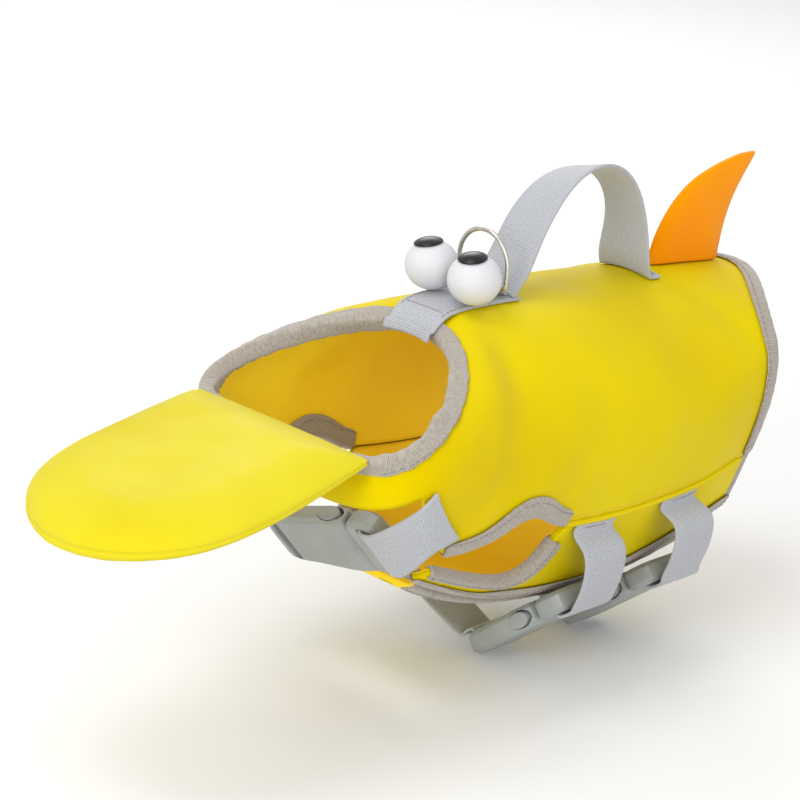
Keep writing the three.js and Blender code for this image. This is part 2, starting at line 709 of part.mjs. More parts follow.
function fin() {
  const columns = 8;
  const left = [];
  const right = [];
  for (const row of FIN) {
    const leftRow = [];
    const rightRow = [];
    for (let j = 0; j <= columns; j += 1) {
      const t = j / columns;
      const y = THREE.MathUtils.lerp(row.front, row.back, t);
      const foot = bodyPoint(0, spineAlong(y)).z + GAP;
      const z = row.z === 0 ? foot : row.z;
      const half = (row.thick / 2) * (0.3 + 0.7 * Math.sqrt(Math.max(0, 1 - (2 * t - 1) ** 4)));
      leftRow.push(new THREE.Vector3(half, y, z));
      rightRow.push(new THREE.Vector3(-half, y, z));
    }
    left.push(leftRow);
    right.push(rightRow);
  }
  return orient(wallFromGrid(left, right));
}

// Spine webbing, handle, ring and its keeper

function spineWebRows(lowY, highY, half, out) {
  const stations = 10;
  const rows = [];
  const first = spineAlong(lowY);
  const last = spineAlong(highY);
  for (let i = 0; i <= stations; i += 1) {
    const along = THREE.MathUtils.lerp(first, last, i / stations);
    const row = [];
    for (const x of [-1, -0.5, 0, 0.5, 1]) row.push(onBody(aroundAtWidth(x * half, along), along, out(along)));
    rows.push(row);
  }
  return rows;
}

// The webbing's front end rises over the neck tape and folds down over its edge.
const WEB_START = -96.6;

function spineWebbing() {
  const half = HANDLE_WEB / 2;
  const rise = TAPE_GAP + TAPE_THICK + 0.4;
  const under = (along) => GAP + rise * (1 - smoothStep((along - 0.45) / 0.5));
  const low = spineWebRows(WEB_START, SPINE_WEB_END, half, under);
  const high = spineWebRows(WEB_START, SPINE_WEB_END, half, (along) => under(along) + WEB_THICK);
  const ahead = new THREE.Vector3(0, -rise - GAP - 1, 0);
  const down = new THREE.Vector3(0, -0.5, -FOAM_WALL * 0.7);
  const shoulder = low[0].map((p) => p.clone().add(ahead));
  const shoulderOut = shoulder.map((p) => p.clone().add(new THREE.Vector3(0, -WEB_THICK * 0.6, WEB_THICK * 0.8)));
  const lip = shoulder.map((p) => p.clone().add(down));
  const lipOut = lip.map((p) => p.clone().add(new THREE.Vector3(0, -WEB_THICK, 0)));
  return orient(wallFromGrid([lipOut, shoulderOut, ...high], [lip, shoulder, ...low]));
}

function webTop(y) {
  return onBody(0, spineAlong(y), GAP + WEB_THICK).z;
}

function handle() {
  const full = HANDLE_WEB / 2;
  const onWeb = HANDLE_FRONT_FOOT.map((y) => ({ y, z: webTop(y) + GAP + WEB_THICK / 2, half: full, lean: 0 }));
  const onBack = HANDLE_REAR_FOOT.map((y) => ({ y, z: webTop(y) - WEB_THICK / 2, half: HANDLE_REAR_HALF, lean: 0 }));
  const path = [...onWeb, ...HANDLE_ARCH, ...onBack];
  const top = [];
  const bottom = [];
  path.forEach((p, i) => {
    const before = path[Math.max(i - 1, 0)];
    const after = path[Math.min(i + 1, path.length - 1)];
    const travel = new THREE.Vector2(after.y - before.y, after.z - before.z).normalize();
    const standing = smoothStep((p.z - 12) / 16);
    const topRow = [];
    const bottomRow = [];
    for (const share of [-1, -0.5, 0, 0.5, 1]) {
      const x = share * p.half;
      const rise = p.lean * x - BACK_CROWN * x * x * (1 - standing);
      topRow.push(new THREE.Vector3(x, p.y - (travel.y * WEB_THICK) / 2, p.z + rise + (travel.x * WEB_THICK) / 2));
      bottomRow.push(new THREE.Vector3(x, p.y + (travel.y * WEB_THICK) / 2, p.z + rise - (travel.x * WEB_THICK) / 2));
    }
    top.push(topRow);
    bottom.push(bottomRow);
  });
  return orient(wallFromGrid(top, bottom));
}

const BAR_Z = webTop(RING.y) + GAP + KEEPER.clear + RING.wire;

function dRing() {
  const path = [];
  const corner = 4;
  const archSteps = 20;
  for (const x of [-0.6, -0.2, 0.2, 0.6]) path.push(new THREE.Vector3(x * RING.half, RING.y, BAR_Z));
  path.push(new THREE.Vector3(RING.half - corner / 2, RING.y, BAR_Z));
  path.push(new THREE.Vector3(RING.half, RING.y, BAR_Z + corner / 2));
  const straight = RING.height - RING.half;
  for (let i = 0; i <= archSteps; i += 1) {
    const angle = (Math.PI * i) / archSteps;
    const x = RING.half * Math.cos(angle);
    path.push(new THREE.Vector3(x, RING.y, BAR_Z + straight + RING.half * Math.sin(angle)));
  }
  path.push(new THREE.Vector3(-RING.half, RING.y, BAR_Z + corner / 2));
  path.push(new THREE.Vector3(-RING.half + corner / 2, RING.y, BAR_Z));
  const sides = 8;
  const sections = path.map((p, i) => {
    const before = path[(i + path.length - 1) % path.length];
    const after = path[(i + 1) % path.length];
    const travel = after.clone().sub(before).normalize();
    const forward = new THREE.Vector3(0, -1, 0);
    const away = travel.clone().cross(forward);
    const section = [];
    for (let k = 0; k < sides; k += 1) {
      const angle = (2 * Math.PI * k) / sides;
      const edge = forward.clone().multiplyScalar(RING.wire * Math.cos(angle));
      section.push(p.clone().add(edge.addScaledVector(away, RING.wire * Math.sin(angle))));
    }
    return section;
  });
  return loft(sections, true);
}

// A short loop of webbing that holds the ring's bar down on the spine webbing.
function ringKeeper() {
  const bore = RING.wire + KEEPER.clear;
  const profile = [{ y: -KEEPER.foot, rise: 0, flat: true }];
  profile.push({ y: -bore - 2.2, rise: 0, flat: true });
  const steps = 8;
  for (let i = 0; i <= steps; i += 1) {
    const angle = Math.PI * (0.92 - (0.84 * i) / steps);
    profile.push({ y: bore * Math.cos(angle), rise: bore * Math.sin(angle), flat: false });
  }
  profile.push({ y: bore + 2.2, rise: 0, flat: true }, { y: KEEPER.foot, rise: 0, flat: true });
  const top = [];
  const bottom = [];
  profile.forEach((p) => {
    const topRow = [];
    const bottomRow = [];
    for (const share of [-1, 0, 1]) {
      const x = (share * KEEPER.width) / 2;
      const y = RING.y + p.y;
      const along = spineAlong(y);
      const floor = onBody(aroundAtWidth(x, along), along, GAP + WEB_THICK + GAP);
      if (p.flat) {
        bottomRow.push(new THREE.Vector3(x, y, floor.z));
        topRow.push(new THREE.Vector3(x, y, floor.z + KEEPER.wall));
      } else {
        const grow = (bore + KEEPER.wall) / bore;
        bottomRow.push(new THREE.Vector3(x, y, BAR_Z + p.rise));
        topRow.push(new THREE.Vector3(x, RING.y + p.y * grow, BAR_Z + p.rise * grow));
      }
    }
    top.push(topRow);
    bottom.push(bottomRow);
  });
  return orient(wallFromGrid(top, bottom));
}

// Eyes: foam balls with a black disc let on near the top

function eyeCentre(side) {
  const around = side > 0 ? EYE.left : EYE.right;
  return onBody(around, EYE.along, GAP + WEB_THICK + GAP + EYE.radius * EYE.squash);
}

function placeEye(geometry, side) {
  const centre = eyeCentre(side);
  geometry.scale(1, 1, EYE.squash);
  geometry.translate(centre.x, centre.y, centre.z);
  return geometry;
}

function eyeBall(side) {
  const geometry = new THREE.SphereGeometry(EYE.radius, 18, 12);
  geometry.rotateX(Math.PI / 2);
  return placeEye(geometry, side);
}

function pupil(side) {
  const inner = EYE.radius + GAP;
  const reach = Math.asin(EYE.pupil / inner);
  const steps = 3;
  const profile = [];
  for (let i = 0; i <= steps; i += 1) {
    const angle = (reach * i) / steps;
    profile.push(new THREE.Vector2(inner * Math.sin(angle), inner * Math.cos(angle)));
  }
  for (let i = steps; i >= 0; i -= 1) {
    const angle = (reach * 0.93 * i) / steps;
    const radius = inner + EYE.pupilThick * Math.sqrt(1 - 0.5 * (i / steps) ** 2);
    profile.push(new THREE.Vector2(radius * Math.sin(angle), radius * Math.cos(angle)));
  }
  profile[0].x = 0;
  profile[profile.length - 1].x = 0;
  const geometry = new THREE.LatheGeometry(profile, 18);
  const look = side > 0 ? new THREE.Vector3(0, -0.2, 0.97) : new THREE.Vector3(-0.12, -0.15, 0.97);
  geometry.applyQuaternion(new THREE.Quaternion().setFromUnitVectors(new THREE.Vector3(0, 1, 0), look.normalize()));
  return placeEye(geometry, side);
}

// Side-release buckles, built flat and then laid in place: x along the strap, y across it, z outwards.

function toManifold(geometry) {
  const bare = geometry.clone();
  bare.deleteAttribute('normal');
  bare.deleteAttribute('uv');
  const merged = mergeVertices(bare, 1e-3);
  return new wasm.Manifold(new wasm.Mesh({
    numProp: 3,
    vertProperties: Float32Array.from(merged.attributes.position.array),
    triVerts: Uint32Array.from(merged.index.array),
  }));
}

function fromManifold(solid) {
  const mesh = solid.getMesh();
  const geometry = new THREE.BufferGeometry();
  geometry.setAttribute('position', new THREE.BufferAttribute(Float32Array.from(mesh.vertProperties), 3));
  geometry.setIndex(new THREE.BufferAttribute(Uint32Array.from(mesh.triVerts), 1));
  geometry.computeVertexNormals();
  return geometry;
}

function block(lowX, highX, lowY, highY, lowZ, highZ) {
  const geometry = new THREE.BoxGeometry(highX - lowX, highY - lowY, highZ - lowZ);
  geometry.translate((lowX + highX) / 2, (lowY + highY) / 2, (lowZ + highZ) / 2);
  return toManifold(geometry);
}

function sideDrum(x, radius, squash, lowY, highY) {
  const geometry = new THREE.CylinderGeometry(radius, radius, highY - lowY, 14);
  geometry.scale(1, 1, squash);
  geometry.translate(x, (lowY + highY) / 2, 0);
  return toManifold(geometry);
}

function outlineBlock(shape, thick, bevel) {
  const geometry = new THREE.ExtrudeGeometry(shape, {
    depth: thick - 2 * bevel,
    bevelThickness: bevel,
    bevelSize: bevel,
    bevelOffset: -bevel,
    bevelSegments: 1,
    curveSegments: 3,
  });
  geometry.translate(0, 0, -thick / 2 + bevel);
  return toManifold(geometry);
}

// The gap round a button is wider on the plug's side.
const BUTTON = { x: 8.5, radius: 7.6, squash: 0.58, inset: 12, clear: 0.6, wideGap: 2.3 };
const SLOT = { near: 29.5, far: 34.3, half: BELT_WEB / 2 + 0.6 };
const ARM = { outer: 6.1, wide: 4.3, thick: 4, clear: 0.6 };

// The socket's outline, fullest at the buttons, with a waist before the bar end.
function socketSolid() {
  const half = BUCKLE.width / 2;
  const waist = half - 1.5;
  const neck = half - 3.5;
  const outline = (shape, s) => {
    if (s < 0) {
      shape.moveTo(BUCKLE.mouth, -half + 1.5);
      shape.quadraticCurveTo(BUTTON.x, -half - 0.8, -4, -waist);
      shape.quadraticCurveTo(-18, -neck, -28, -neck);
      shape.quadraticCurveTo(BUCKLE.right, -neck, BUCKLE.right, -neck + 8);
    } else {
      shape.lineTo(BUCKLE.right, neck - 8);
      shape.quadraticCurveTo(BUCKLE.right, neck, -28, neck);
      shape.quadraticCurveTo(-18, neck, -4, waist);
      shape.quadraticCurveTo(BUTTON.x, half + 0.8, BUCKLE.mouth, half - 1.5);
    }
  };
  const shape = new THREE.Shape();
  outline(shape, -1);
  outline(shape, 1);
  shape.closePath();
  let solid = outlineBlock(shape, BUCKLE.thick, 2.6);
  const slotHalf = SOCKET_WEB / 2 + 0.6;
  solid = solid.subtract(block(-SLOT.far - 2, -SLOT.near - 2, -slotHalf, slotHalf, -BUCKLE.thick, BUCKLE.thick));
  for (const side of [-1, 1]) {
    const ends = side > 0 ? [half - BUTTON.inset, half + 2] : [-half - 2, -half + BUTTON.inset];
    const radius = BUTTON.radius + BUTTON.clear + BUTTON.wideGap / 2;
    const squash = (BUTTON.radius * BUTTON.squash + BUTTON.clear) / radius;
    const pocket = sideDrum(BUTTON.x + BUTTON.wideGap / 2, radius, squash, ends[0], ends[1]);
    const low = half - ARM.outer - ARM.wide - ARM.clear;
    const high = half - ARM.outer + ARM.clear;
    const deep = ARM.thick / 2 + ARM.clear;
    const channel = side > 0 ? [low, high] : [-high, -low];
    solid = solid.subtract(pocket);
    solid = solid.subtract(block(BUTTON.x, BUCKLE.mouth + 3, channel[0], channel[1], -deep, deep));
  }
  return fromManifold(solid);
}

function plugSolid() {
  const half = BUCKLE.width / 2;
  const foot = BUCKLE.mouth + 0.6;
  const shape = new THREE.Shape();
  shape.moveTo(foot, half - 4.5);
  shape.lineTo(foot, -half + 4.5);
  shape.quadraticCurveTo(foot + 3, -half + 1, 30, -half + 1);
  shape.quadraticCurveTo(BUCKLE.left, -half + 1, BUCKLE.left, -half + 9);
  shape.lineTo(BUCKLE.left, half - 9);
  shape.quadraticCurveTo(BUCKLE.left, half - 1, 30, half - 1);
  shape.quadraticCurveTo(foot + 3, half - 1, foot, half - 4.5);
  let solid = outlineBlock(shape, BUCKLE.thick - 1, 2.4);
  solid = solid.subtract(block(SLOT.near, SLOT.far, -SLOT.half, SLOT.half, -BUCKLE.thick, BUCKLE.thick));
  for (const side of [-1, 1]) {
    const low = half - ARM.outer - ARM.wide;
    const high = half - ARM.outer;
    const arm = side > 0 ? [low, high] : [-high, -low];
    const reach = half - BUTTON.inset + 0.7;
    const ends = side > 0 ? [reach, half - 0.2] : [-half + 0.2, -reach];
    solid = solid.add(block(BUTTON.x, foot + 3, arm[0], arm[1], -ARM.thick / 2, ARM.thick / 2));
    solid = solid.add(sideDrum(BUTTON.x, BUTTON.radius, BUTTON.squash, ends[0], ends[1]));
  }
  return fromManifold(solid);
}

function buckleFrame(buckle) {
  const x = new THREE.Vector3(...buckle.along).normalize();
  const out = new THREE.Vector3(...buckle.out);
  const z = out.sub(x.clone().multiplyScalar(out.dot(x))).normalize();
  const y = z.clone().cross(x);
  return new THREE.Matrix4().makeBasis(x, y, z).setPosition(...buckle.centre);
}

function addBuckle(name, buckle) {
  const frame = buckleFrame(buckle);
  addPiece(`${name}_buckle_socket`, socketSolid().applyMatrix4(frame), 'plastic');
  addPiece(`${name}_buckle_plug`, plugSolid().applyMatrix4(frame), 'plastic');
}

// Straps end in a slot of the buckle: over its outer face on the left, over its inner face on the right.
const PLUG_ROUTE = [
  { x: 44, out: 8.3 },
  { x: 37.5, out: 8.6 },
  { x: 33.6, out: 7.4 },
  { x: 32, out: 4.5 },
  { x: 31.9, out: -2 },
];
const SOCKET_ROUTE = [
  { x: -46, out: -7 },
  { x: -40, out: -8.8 },
  { x: -35.8, out: -7.6 },
  { x: -34, out: -4.5 },
  { x: -33.9, out: 2 },
];

function slotRows(buckle, side, width, columns, facing) {
  const frame = buckleFrame(buckle);
  const across = new THREE.Vector3().setFromMatrixColumn(frame, 1);
  if (across.dot(facing) < 0) across.negate();
  const route = side > 0 ? PLUG_ROUTE : SOCKET_ROUTE;
  return route.map((spot) => rowAcross(new THREE.Vector3(spot.x, 0, spot.out).applyMatrix4(frame), across, width, columns));
}

// Belly straps hang in a loose loop from the side seams to their buckle.
const LEFT_LOOP = [
  { x: 89.5, z: -113 },
  { x: 89, z: -131 },
  { x: 83, z: -146.5 },
];
const RIGHT_LOOP = [
  { x: -86.5, z: -123 },
  { x: -76, z: -143 },
  { x: -55, z: -163 },
  { x: -30, z: -178 },
  { x: -8, z: -188 },
];

// A row of strap points on the belly cloth, a step below the side seam.
function seamRow(side, y, step, columns) {
  const row = [];
  for (let j = 0; j < columns; j += 1) {
    const at = y + BELT_WEB * (j / (columns - 1) - 0.5);
    const along = alongAtY(SEAM_AROUND[0].around, at);
    const around = side * (seamAround(along) + step) - (side < 0 ? RIGHT_DROP : 0);
    row.push(onBody(around, along, GAP + WEB_THICK / 2 + Math.max(0, step - 0.004) * 60));
  }
  return row;
}

function bellyStrap(buckleName, side) {
  const belt = BELTS[buckleName];
  const loop = side > 0 ? LEFT_LOOP : RIGHT_LOOP;
  const rearward = new THREE.Vector3(0, 1, 0);
  const endWidth = side > 0 ? BELT_WEB : SOCKET_WEB;
  const columns = 3;
  const rows = [0.0035, 0.022].map((step) => seamRow(side, belt.y, step, columns));
  const hanging = loop.map((spot, i) => {
    const share = (i + 1) / (loop.length + 1);
    const y = THREE.MathUtils.lerp(belt.y, belt.yLow, share);
    const width = THREE.MathUtils.lerp(BELT_WEB, endWidth, share);
    return rowAcross(new THREE.Vector3(spot.x, y, spot.z), rearward, width, columns);
  });
  rows.push(...hanging, ...slotRows(BUCKLES[buckleName], side, endWidth, columns, rearward));
  return strapThrough(rows, 24);
}

// The chest strap is sewn on the side panel's outer face at a slant and leaves over its front edge.
const CHEST_ROOT = {
  high: { around: 0.572, along: 0.98 },
  low: { around: 0.645, along: 1.88 },
  lift: GAP + WEB_THICK / 2 + 0.3,
};

function chestStrap(side) {
  const drop = side < 0 ? RIGHT_DROP : 0;
  const columns = 5;
  const rows = [0, 0.02, 0.04, 0.06].map((step) => {
    const row = [];
    for (let j = 0; j < columns; j += 1) {
      const share = THREE.MathUtils.lerp(j / (columns - 1), 0.5, 3 * step);
      const around = THREE.MathUtils.lerp(CHEST_ROOT.high.around, CHEST_ROOT.low.around, share) + drop + step;
      const along = THREE.MathUtils.lerp(CHEST_ROOT.high.along, CHEST_ROOT.low.along, share);
      row.push(onBody(side * around, along, CHEST_ROOT.lift + step * 40));
    }
    return row;
  });
  const slant = rows[0][columns - 1].clone().sub(rows[0][0]);
  rows.push(...slotRows(BUCKLES.chest, side, side > 0 ? BELT_WEB : SOCKET_WEB, columns, slant));
  return strapThrough(rows, 20);
}

addPiece('back_panel', backPanel(), 'shell');
addPiece('neck_tape', neckTape(), 'tape');
addPiece('hem_tape', hemTape(), 'tape');
addPiece('belly_flap_left', bellyWall(leftFlapRows(), leftFlapLift), 'shell');
addPiece('belly_panel_right', bellyWall(rightPanelRows(), rightPanelLift), 'shell');
bellyTapes();
addPiece('beak', beak(), 'foam');
addPiece('fin', fin(), 'orange');
addPiece('spine_webbing', spineWebbing(), 'webbing');
addPiece('handle', handle(), 'webbing');
addPiece('ring_keeper', ringKeeper(), 'webbing');
addPiece('d_ring', dRing(), 'steel');
for (const [name, buckle] of Object.entries(BUCKLES)) addBuckle(name, buckle);
for (const [word, side] of [['left', 1], ['right', -1]]) {
  addPiece(`armhole_tape_${word}`, armholeTape(side), 'tape');
  addPiece(`eye_ball_${word}`, eyeBall(side), 'white');
  addPiece(`pupil_${word}`, pupil(side), 'black');
  addPiece(`chest_strap_${word}`, chestStrap(side), 'webbing');
  addPiece(`front_strap_${word}`, bellyStrap('front', side), 'webbing');
  addPiece(`rear_strap_${word}`, bellyStrap('rear', side), 'webbing');
}

export default group;
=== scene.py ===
# %% [markdown]
# A life jacket for a small dog, dressed for its picture.
#
# The jacket comes in as a set of plain solids in the right places. This lesson gives each of them
# the surface of the real thing: smooth coated cloth over foam, woven webbing, gathered edge tape,
# moulded buckles and rows of stitching. It stands filled out, as it does on the wearer.

import json
import math

import bmesh
import bpy
from mathutils import Matrix, Vector
from mathutils.bvhtree import BVHTree

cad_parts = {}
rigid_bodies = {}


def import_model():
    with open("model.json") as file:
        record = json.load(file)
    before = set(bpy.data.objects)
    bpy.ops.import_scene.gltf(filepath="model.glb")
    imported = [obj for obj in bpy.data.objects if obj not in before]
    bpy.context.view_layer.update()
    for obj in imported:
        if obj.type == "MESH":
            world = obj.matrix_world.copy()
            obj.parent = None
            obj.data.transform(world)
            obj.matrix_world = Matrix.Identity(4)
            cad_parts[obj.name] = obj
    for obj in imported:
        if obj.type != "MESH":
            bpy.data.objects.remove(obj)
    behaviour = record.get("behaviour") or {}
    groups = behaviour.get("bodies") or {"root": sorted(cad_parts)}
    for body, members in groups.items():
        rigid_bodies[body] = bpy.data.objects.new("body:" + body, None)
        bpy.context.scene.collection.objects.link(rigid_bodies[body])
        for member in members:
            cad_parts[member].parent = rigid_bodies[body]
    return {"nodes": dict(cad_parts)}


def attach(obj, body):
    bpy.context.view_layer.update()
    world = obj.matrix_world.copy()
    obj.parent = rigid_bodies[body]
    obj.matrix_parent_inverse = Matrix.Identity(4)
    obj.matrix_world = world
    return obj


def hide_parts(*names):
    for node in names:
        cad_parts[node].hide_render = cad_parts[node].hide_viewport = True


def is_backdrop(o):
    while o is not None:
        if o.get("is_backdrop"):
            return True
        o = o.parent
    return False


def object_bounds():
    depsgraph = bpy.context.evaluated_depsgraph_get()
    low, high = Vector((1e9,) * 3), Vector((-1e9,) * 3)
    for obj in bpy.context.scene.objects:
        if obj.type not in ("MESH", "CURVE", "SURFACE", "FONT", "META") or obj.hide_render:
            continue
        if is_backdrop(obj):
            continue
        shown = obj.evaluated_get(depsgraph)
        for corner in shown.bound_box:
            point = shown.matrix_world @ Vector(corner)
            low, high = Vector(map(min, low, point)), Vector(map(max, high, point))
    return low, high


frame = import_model()
plain_low, plain_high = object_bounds()
nodes = frame["nodes"]
MM = 0.001
print("nodes:", len(nodes), "size in mm:", [round((b - a) / MM, 1) for a, b in zip(plain_low, plain_high)])

# %% [markdown]
# The picture was taken from the wearer's left front, a little above it, with a long lens and the
# camera held slightly askew. Place, turn and lens were worked out from the outline of the plain
# model laid over the picture. The camera is the first thing made, so each look goes through it.

# %% Camera
scene = bpy.context.scene
bpy.ops.object.select_all(action="DESELECT")
bpy.ops.object.camera_add(location=(0.99060, -1.13678, 0.46156))
camera = bpy.context.object
camera.name = "picture_camera"
camera.rotation_euler = [math.radians(turn) for turn in (70.610, -3.867, 45.224)]
camera.data.lens = 129.28
camera.data.sensor_width = 36
camera.data.clip_end = 20
scene.camera = camera
print("camera looks along", [round(v, 3) for v in -camera.matrix_basis.col[2].xyz])

# %% [markdown]
# The studio is a pale floor that sweeps up behind, so no edge shows. It is made from one plane:
# the far edge is picked by its place, extruded upwards, and the corner is rounded with a bevel.
# Four soft lights stand in for bright windows around it, and a white world fills the shadows.

# %% Floor and light
FLOOR_Z = plain_low.z - 0.002


def choose(thing):
    """Deselects everything else and makes one thing the active one."""
    bpy.ops.object.select_all(action="DESELECT")
    thing.select_set(True)
    bpy.context.view_layer.objects.active = thing


def pick(thing, test, kind="VERT"):
    """Enters edit mode on one thing and selects its corners, edges or faces by a test on their place."""
    choose(thing)
    bpy.ops.object.mode_set(mode="EDIT")
    bpy.ops.mesh.select_mode(type=kind)
    bpy.ops.mesh.select_all(action="DESELECT")
    mesh = bmesh.from_edit_mesh(thing.data)
    parts = {"VERT": mesh.verts, "EDGE": mesh.edges, "FACE": mesh.faces}[kind]
    for part in parts:
        part.select_set(bool(test(part)))
    mesh.select_flush_mode()
    bmesh.update_edit_mesh(thing.data)


def leave_edit():
    bpy.ops.object.mode_set(mode="OBJECT")


def settle(thing):
    """Puts a finished thing's place into its mesh, as the plain model has it."""
    choose(thing)
    bpy.ops.object.transform_apply(location=True, rotation=True, scale=True)


FLOOR_MIDDLE = Vector((-0.6, 0.8, 0))
FLOOR_TURN = math.radians(44)
away = Vector((-math.sin(FLOOR_TURN), math.cos(FLOOR_TURN), 0))


def behind(corner):
    """Whether a corner of the floor lies on its far side."""
    return (corner.co - FLOOR_MIDDLE).dot(away) > 1


bpy.ops.mesh.primitive_plane_add(size=7, location=(*FLOOR_MIDDLE.xy, FLOOR_Z), rotation=(0, 0, FLOOR_TURN))
floor = bpy.context.object
floor.name = "studio_floor"
settle(floor)
pick(floor, behind)
bpy.ops.mesh.extrude_region_move(TRANSFORM_OT_translate={"value": (0, 0, 4)})
leave_edit()
pick(floor, lambda e: all(behind(v) and v.co.z < 1 for v in e.verts), "EDGE")
bpy.ops.mesh.bevel(offset=1.4, segments=12)
leave_edit()
bpy.ops.object.shade_smooth()
floor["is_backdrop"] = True

world = bpy.data.worlds.new("studio_white")
world.use_nodes = True
world.node_tree.nodes["Background"].inputs["Color"].default_value = (1, 1, 1, 1)
world.node_tree.nodes["Background"].inputs["Strength"].default_value = 0.9
scene.world = world


def soft_light(name, place, aim, size, power):
    bpy.ops.object.light_add(type="AREA", location=place)
    light = bpy.context.object
    light.name = name
    light.data.shape = "DISK"
    light.data.size = size
    light.data.energy = power
    light.rotation_euler = (Vector(place) - Vector(aim)).to_track_quat("Z", "Y").to_euler()
    return light


soft_light("window_high", (-0.3, -0.7, 1.8), (0, -0.05, 0), 1.0, 9.5)
soft_light("window_front", (0.45, -1.6, 0.7), (0, -0.1, -0.05), 0.7, 10)
soft_light("fill_by_camera", (1.3, -0.95, 0.1), (0, -0.05, -0.1), 0.8, 5)
soft_light("rim_behind", (-1.3, 1.0, 1.0), (0, 0, 0), 1.0, 9)
scene.view_settings.view_transform = "Standard"
print("floor at", round(FLOOR_Z / MM, 1), "mm")

# %% [markdown]
# Every material below is made by hand from nodes. Small helpers keep that short: the first turns
# the colour that a picture shows into the linear numbers that light is added up in, the next starts
# a material, and add puts in one node with its settings and links. The rest are built on add.

# %% Helpers for materials
def colour(code):
    """Linear colour from an sRGB hex value."""
    parts = [int(code[i : i + 2], 16) / 255 for i in (1, 3, 5)]
    linear = [p / 12.92 if p <= 0.04045 else ((p + 0.055) / 1.055) ** 2.4 for p in parts]
    return (*linear, 1)


def start_material(name, roughness, metallic=0.0, sheen=0.0, sheen_tint=None, glint=None, ior=1.5):
    material = bpy.data.materials.new(name)
    material.use_nodes = True
    shader = material.node_tree.nodes["Principled BSDF"]
    shader.inputs["Roughness"].default_value = roughness
    shader.inputs["Metallic"].default_value = metallic
    shader.inputs["Sheen Weight"].default_value = sheen
    shader.inputs["IOR"].default_value = ior
    if sheen_tint:
        shader.inputs["Sheen Tint"].default_value = colour(sheen_tint)
    if glint:
        shader.inputs["Specular Tint"].default_value = colour(glint)
    return material, shader


def add(material, kind, settings=None, **links):
    """Adds a node. Settings are its own switches, links are sockets: a value, or another node's output."""
    node = material.node_tree.nodes.new("ShaderNode" + kind)
    for key, value in (settings or {}).items():
        setattr(node, key, value)
    for key, value in links.items():
        name = key.replace("_", " ")
        socket = next(s for s in node.inputs if s.name.lower() == name.lower() and s.enabled)
        if isinstance(value, bpy.types.NodeSocket):
            material.node_tree.links.new(value, socket)
        else:
            socket.default_value = value
    return node


def ramp(material, source, stops):
    """A colour ramp: stops are (place, hex colour)."""
    node = add(material, "ValToRGB", Fac=source)
    while len(node.color_ramp.elements) < len(stops):
        node.color_ramp.elements.new(0.5)
    for element, (place, code) in zip(node.color_ramp.elements, stops):
        element.position = place
        element.color = colour(code)
    return node.outputs["Color"]


def bands_every(pitch_mm):
    """The Wave texture's Scale for one band in each pitch: it has 20 bands in 2 pi metres at Scale 1."""
    return 2 * math.pi / (20 * pitch_mm * MM)


def total(material, first, second, operation="ADD"):
    node = add(material, "Math", {"operation": operation})
    for socket, value in zip(node.inputs, (first, second)):
        if isinstance(value, bpy.types.NodeSocket):
            material.node_tree.links.new(value, socket)
        else:
            socket.default_value = value
    return node.outputs[0]


def wear_bump(material, shader, height, distance, strength=1.0, under=None):
    links = {"Height": height, "Distance": distance, "Strength": strength}
    if under:
        links["Normal"] = under
    node = add(material, "Bump", **links)
    material.node_tree.links.new(node.outputs["Normal"], shader.inputs["Normal"])
    return node.outputs["Normal"]


# %% [markdown]
# The jacket's cloth is a coated polyester: a tight plain weave with a thin film on it. It looks
# smooth, almost like paint, with a faint sheen at grazing angles. Its threads are about 0.35 mm,
# too fine for this picture, so the weave is drawn at 0.9 mm and kept shallow. Broad, slow changes
# of colour stand for the foam pressing from behind, and small soft dents make it cloth. The side
# towards the wearer has no film, so its dye shows warmer, and it is also painted much lighter:
# painted light, standing in for the light that reaches the shaded inside.

# %% Coated polyester
def coated_cloth(name, light, middle, deep, weave=0.9, dents=0.0007):
    material, shader = start_material(name, 0.58, sheen=0.02, sheen_tint=light, glint=light, ior=1.42)
    place = add(material, "TexCoord").outputs["Object"]
    slow = add(material, "TexNoise", Vector=place, Scale=9.0, Detail=2.0, Roughness=0.5).outputs["Fac"]
    tone = ramp(material, slow, [(0.3, deep), (0.5, middle), (0.72, light)])
    material.node_tree.links.new(tone, shader.inputs["Base Color"])
    height = None
    for axis in ("X", "Y", "Z"):
        settings = {"wave_type": "BANDS", "bands_direction": axis, "wave_profile": "SIN"}
        threads = add(material, "TexWave", settings, Vector=place, Scale=bands_every(weave)).outputs["Fac"]
        height = total(material, height, threads) if height else threads
    soft = add(material, "TexNoise", Vector=place, Scale=38.0, Detail=3.0, Roughness=0.45).outputs["Fac"]
    fine = add(material, "Bump", Height=height, Distance=0.00004, Strength=0.35).outputs["Normal"]
    wear_bump(material, shader, soft, dents, 0.35, under=fine)
    rough = add(material, "MapRange", Value=soft, From_Min=0.3, From_Max=0.7, To_Min=0.52, To_Max=0.66)
    material.node_tree.links.new(rough.outputs["Result"], shader.inputs["Roughness"])
    return material


yellow_cloth = coated_cloth("coated_polyester_yellow", "#D8C400", "#D2BC00", "#CBB200")
# The beak's cover is the same cloth made paler and less saturated: its lemon tone is painted sheen.
beak_cloth_painted_sheen = coated_cloth("coated_polyester_lemon_painted_sheen", "#D6CA34", "#D0C228", "#C8B818", dents=0.0004)
orange_cloth = coated_cloth("coated_polyester_orange", "#F29800", "#EE8E00", "#E88400", dents=0.0004)
# The inside cloth is painted much lighter than the outside: painted light for the shaded inside.
inside_cloth_painted_light = coated_cloth("polyester_yellow_inside_painted_light", "#FFE238", "#FFDC2A", "#FFD41C")
print("cloths:", [m.name for m in (yellow_cloth, inside_cloth_painted_light, beak_cloth_painted_sheen, orange_cloth)])

